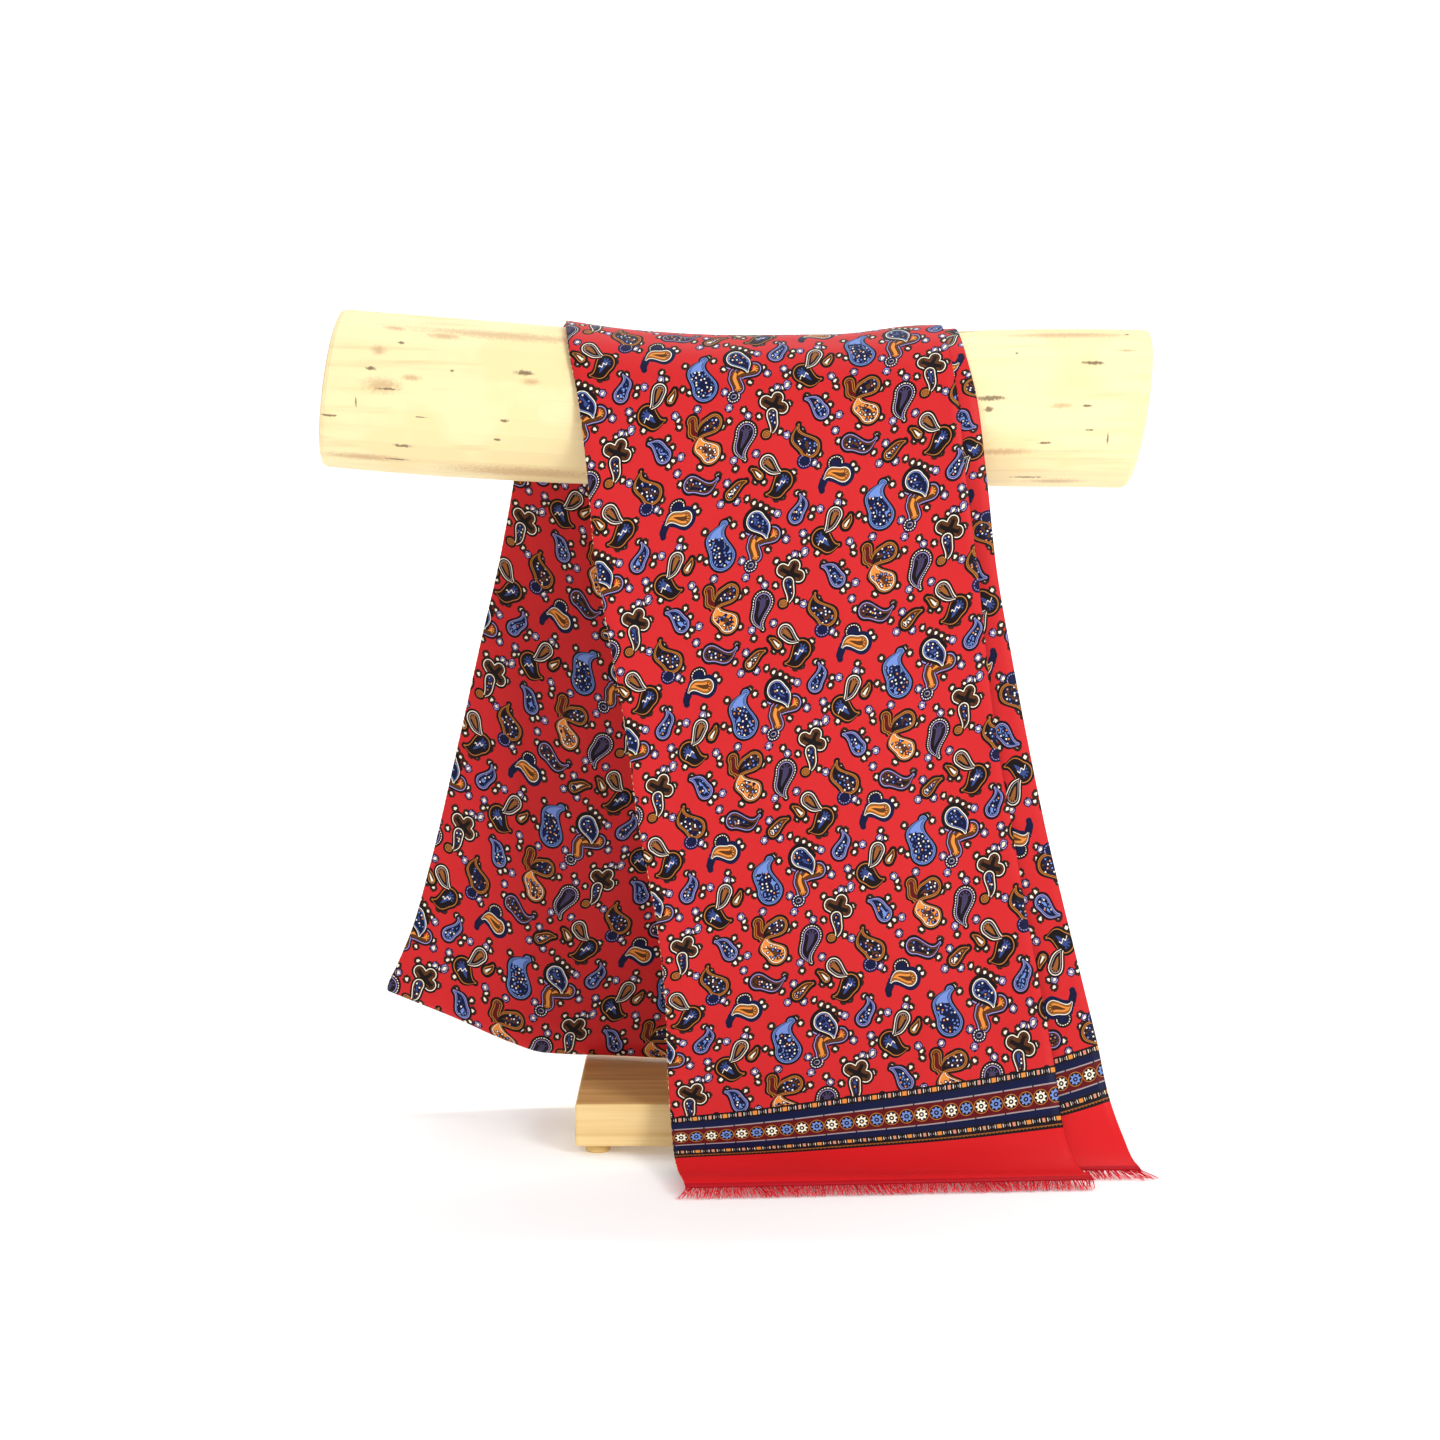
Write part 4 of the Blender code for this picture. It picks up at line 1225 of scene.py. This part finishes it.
floss = plain_material("silk_floss", (0.6, 0.03, 0.05), 0.5)
strand = Graph(floss)
tint = strand.add("Attribute", attribute_name="tint", output=2)
toward_tip = strand.add("Attribute", attribute_name="along", output=2)
fade = (toward_tip * 1.1 + tint * 1.4 - 2.0).math("MULTIPLY", 1.0, clamp=True)
colour = strand.mix(linear(188, 8, 22), linear(240, 28, 48), toward_tip * 0.6 + tint * 0.4)
strand.finish(Base_Color=strand.mix(colour, linear(250, 150, 164), fade))
floss.node_tree.nodes["Principled BSDF"].inputs["Specular IOR Level"].default_value = 0.2

outer_threads = frayed_end("outer_threads", 0, 620, -0.4, 5)
inner_threads = frayed_end("inner_threads", -1, 580, 2.2, 9)
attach(outer_threads, "root")
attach(inner_threads, "root")
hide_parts("fringe_outer")
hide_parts("fringe_inner")

# %% [markdown]
# ## The seam's stitches
# The tube is closed by hand along its left edge. Short cream stitches show there, one about every
# four millimetres, some longer than others.

# %% Sew the seam
sewing = threads_cloth()
pick = random.Random(3)
seam, run, due = lines[0.0], 0.0, 6.0
for j in range(1, len(seam)):
    step_along = seam[j] - seam[j - 1]
    while run + step_along.length > due:
        spot = seam[j - 1] + step_along * ((due - run) / step_along.length)
        normal = normals[0.0][j]
        side = pick.choice((-1.0, 1.0, 1.0))
        direction = step_along.normalized() * side
        reach = direction * pick.uniform(0.9, 2.0) + normal * pick.uniform(-0.3, 0.3)
        start = spot + Vector((-0.12, LOG_Y, 0.0)) + normal * (0.45 + unevenness(0.0, due))
        thread(sewing, start, reach, normal * 0.15, pick.random(), 0.17, 0.15)
        due += pick.uniform(2.8, 5.6)
    run += step_along.length
sewing_thread = plain_material("sewing_thread", (0.9, 0.75, 0.5), 0.55)
sewn = Graph(sewing_thread)
tint = sewn.add("Attribute", attribute_name="tint", output=2)
sewn.finish(Base_Color=sewn.mix(linear(250, 226, 178), linear(236, 176, 120), tint))
stitches = finished("seam_stitches", sewing, sewing_thread, smooth=False, unit=MM)
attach(stitches, "root")

# %% [markdown]
# ## The bare log
# The log has lost its bark and has been smoothed: pale sapwood with faint tan streaks along its
# length, and small knots and cracks. The streaks are noise that is stretched along the grain. The
# marks are listed one by one on the log's unrolled face, and turn up again, turned about, behind.

# %% Chart the marks on the log
KNOTS = [
    # x, height, half_length, half_height
    (-116, 429, 5.2, 1.6), (-183, 445, 2.2, 0.9), (-199, 431, 3, 1.2), (-155, 430, 1, 0.8),
    (-127, 403, 2.2, 1), (-131, 393, 2.4, 0.8), (-183, 390, 5.5, 1.3), (-188, 383, 7, 0.7),
    (-207, 413, 0.5, 3), (-199, 462, 2, 1), (193, 434, 7, 1.3), (137, 415, 8, 1.5),
    (136, 409, 2.6, 1.6), (152, 439, 1, 0.8), (167, 391, 4.2, 0.8), (201, 393, 0.5, 3.2),
    (191, 398, 2.6, 0.5), (214, 450, 1.6, 1), (124, 451, 8, 0.9), (189, 411, 3.2, 0.7),
    (-222, 406, 5, 0.7), (-190, 420, 6, 0.6), (-172, 405, 3, 0.4), (160, 372, 9, 0.8),
]
# Tan patches; the long ones near a height of 450 make a darker band along the top of the log.
TAN_PATCHES = [
    (-160, 449, 9, 2.4), (-187, 453, 6, 2), (-195, 441, 4, 3), (-193, 422, 10, 4),
    (-177, 426, 5, 1.6), (-112, 424, 5, 1.8), (175, 411, 6, 1.4), (145, 386, 16, 2),
    (176, 370, 14, 3), (212, 441, 5, 1), (182, 449, 32, 3.4), (-127, 450, 48, 4),
    (-118, 376, 40, 5), (-205, 384, 22, 3),
]
LOG_GIRTH = 43.0                          # its mean radius
LOG_LOW = 407.4                           # the height of its middle at x = 0
LEFT_RISE, RIGHT_RISE = -0.0604, 0.013    # from there, millimetres up for one to the right
print("marks on the log:", len(KNOTS) + len(TAN_PATCHES))

# %% Finish the log
bare = plain_material("bare_wood", (0.95, 0.85, 0.55), 0.55)
wood = Graph(bare)
spot = wood.add("TexCoord", output=3)
in_mm = wood.scaled(spot, 1.0 / MM)
x, y, z = in_mm.part(0), in_mm.part(1), in_mm.part(2)
up = z - (x * LEFT_RISE).math("MAXIMUM", x * RIGHT_RISE) - LOG_LOW
front = y - LOG_Y < 0.0
round_it = up.math("ARCTAN2", abs(y - LOG_Y)) * LOG_GIRTH
along = x * (front * 2.0 - 1.0)
face = wood.add("CombineXYZ", (along, round_it, 0.0))


def marks(places):
    """The nearest of some oval marks: 0 in its middle, 1 at its edge."""
    distances = []
    for x, z, half_length, half_height in places:
        middle = LOG_LOW + max(x * LEFT_RISE, x * RIGHT_RISE)
        rise = max(-1.0, min(1.0, (z - middle) / LOG_GIRTH))
        round_place = math.asin(rise) * LOG_GIRTH
        oval = wood.vector("MULTIPLY_ADD", face, (1.0 / half_length, 1.0 / half_height, 0.0),
                           (-x / half_length, -round_place / half_height, 0.0))
        distances.append(wood.vector("LENGTH", oval, output=1))
    return nearest_of(distances)


def eased(value, start, end):
    """A soft step from 0 to 1."""
    return wood.add("MapRange", {"Value": value, "From Min": start, "From Max": end},
                    interpolation_type="SMOOTHSTEP")


grain = wood.vector("MULTIPLY", in_mm, (0.010, 0.16, 0.16))
streaks = wood.add("TexNoise", {"Vector": grain, "Scale": 1.0, "Detail": 5.0, "Roughness": 0.55})
clouds = wood.add("TexNoise", {"Vector": in_mm, "Scale": 0.022, "Detail": 3.0})
ragged = wood.add("TexNoise", {"Vector": in_mm, "Scale": 0.6, "Detail": 2.0})
pale = wood.mix(linear(252, 234, 180), linear(238, 206, 148), eased(streaks, 0.50, 0.78))
pale = wood.mix(pale, linear(248, 226, 168), eased(clouds, 0.45, 0.62))
patch_mask = 1.0 - eased(marks(TAN_PATCHES) + (ragged - 0.5) * 1.2, 0.2, 1.5)
pale = wood.mix(pale, linear(206, 168, 120), patch_mask * 0.75)
knotted = 1.0 - eased(marks(KNOTS) + (ragged - 0.5) * 1.6, 0.45, 1.25)
pale = wood.mix(pale, linear(112, 84, 58), knotted * 0.85)
end_grain = wood.add("TexWave", {"Vector": wood.add("CombineXYZ", (0.0, y - LOG_Y, up)),
                                 "Scale": 0.16, "Distortion": 2.2, "Detail": 2.0},
                     wave_type="RINGS", rings_direction="X")
facing = wood.add("NewGeometry", output="Normal").part(0)
ends = abs(facing) > 0.8
pale = wood.mix(pale, wood.mix(linear(250, 232, 186), linear(214, 178, 124), end_grain), ends * 0.8)
relief = wood.add("Bump", {"Height": streaks - knotted * 0.6, "Strength": 0.25, "Distance": 0.0006})
wood.finish(Base_Color=pale, Normal=relief)
print("nodes in the log's wood:", len(bare.node_tree.nodes))

# %% [markdown]
# ## The board, the post and the feet
# The board is sawn and oiled: straight brown lines along its length, and its top painted a deeper
# brown as shade. The post and the button feet are turned from the same wood.

# %% Finish the board, post and feet
def sawn_wood(name, light, dark, shade_above=None):
    """Straight-grained wood along X, with its top painted browner as shade if that height is given."""
    material = plain_material(name, light[:3], 0.5)
    board = Graph(material)
    spot = board.add("TexCoord", output=3)
    lined = board.vector("MULTIPLY", spot, (6.0, 160.0, 330.0))
    fine = board.add("TexNoise", {"Vector": lined, "Scale": 1.0, "Detail": 4.0, "Roughness": 0.6,
                                  "Distortion": 0.3})
    broad = board.add("TexNoise", {"Vector": board.vector("MULTIPLY", spot, (3.0, 30.0, 60.0)),
                                   "Scale": 1.0, "Detail": 2.0})
    tone = board.add("MapRange", {"Value": fine * 0.6 + broad * 0.4, "From Min": 0.38,
                                  "From Max": 0.66})
    colour = board.mix(light, dark, tone)
    if shade_above:
        # Painted shade: above this height the top is a deeper brown.
        top = spot.part(2) > shade_above
        top_shade = board.mix(linear(226, 180, 112), linear(168, 118, 62), tone)
        colour = board.mix(colour, top_shade, top)
    bump = board.add("Bump", {"Height": fine, "Strength": 0.3, "Distance": 0.0004})
    board.finish(Base_Color=colour, Normal=bump)
    return material


# The height where the board's top, painted darker as shade, begins.
TOP_SHADE_ABOVE = 0.0287     # metres up, just under the board's upper face
board_finish = sawn_wood("board_wood", linear(242, 210, 148), linear(216, 175, 104), TOP_SHADE_ABOVE)
dowel_finish = sawn_wood("dowel_wood", linear(238, 206, 142), linear(204, 160, 98))
foot_finish = sawn_wood("foot_wood", linear(228, 194, 122), linear(202, 162, 96))
finishes = {"log": bare, "base": board_finish, "post": dowel_finish}
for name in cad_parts:
    finish = finishes.get(name, foot_finish if name.startswith("foot_") else None)
    if finish is None:
        continue
    item = bpy.data.objects.get(name)
    for slot in item.material_slots:
        slot.material = finish
    print(name, "is finished with", finish.name)

# %% Say how the cloth was cut
print("the scarf is one sheet, folded and sewn")
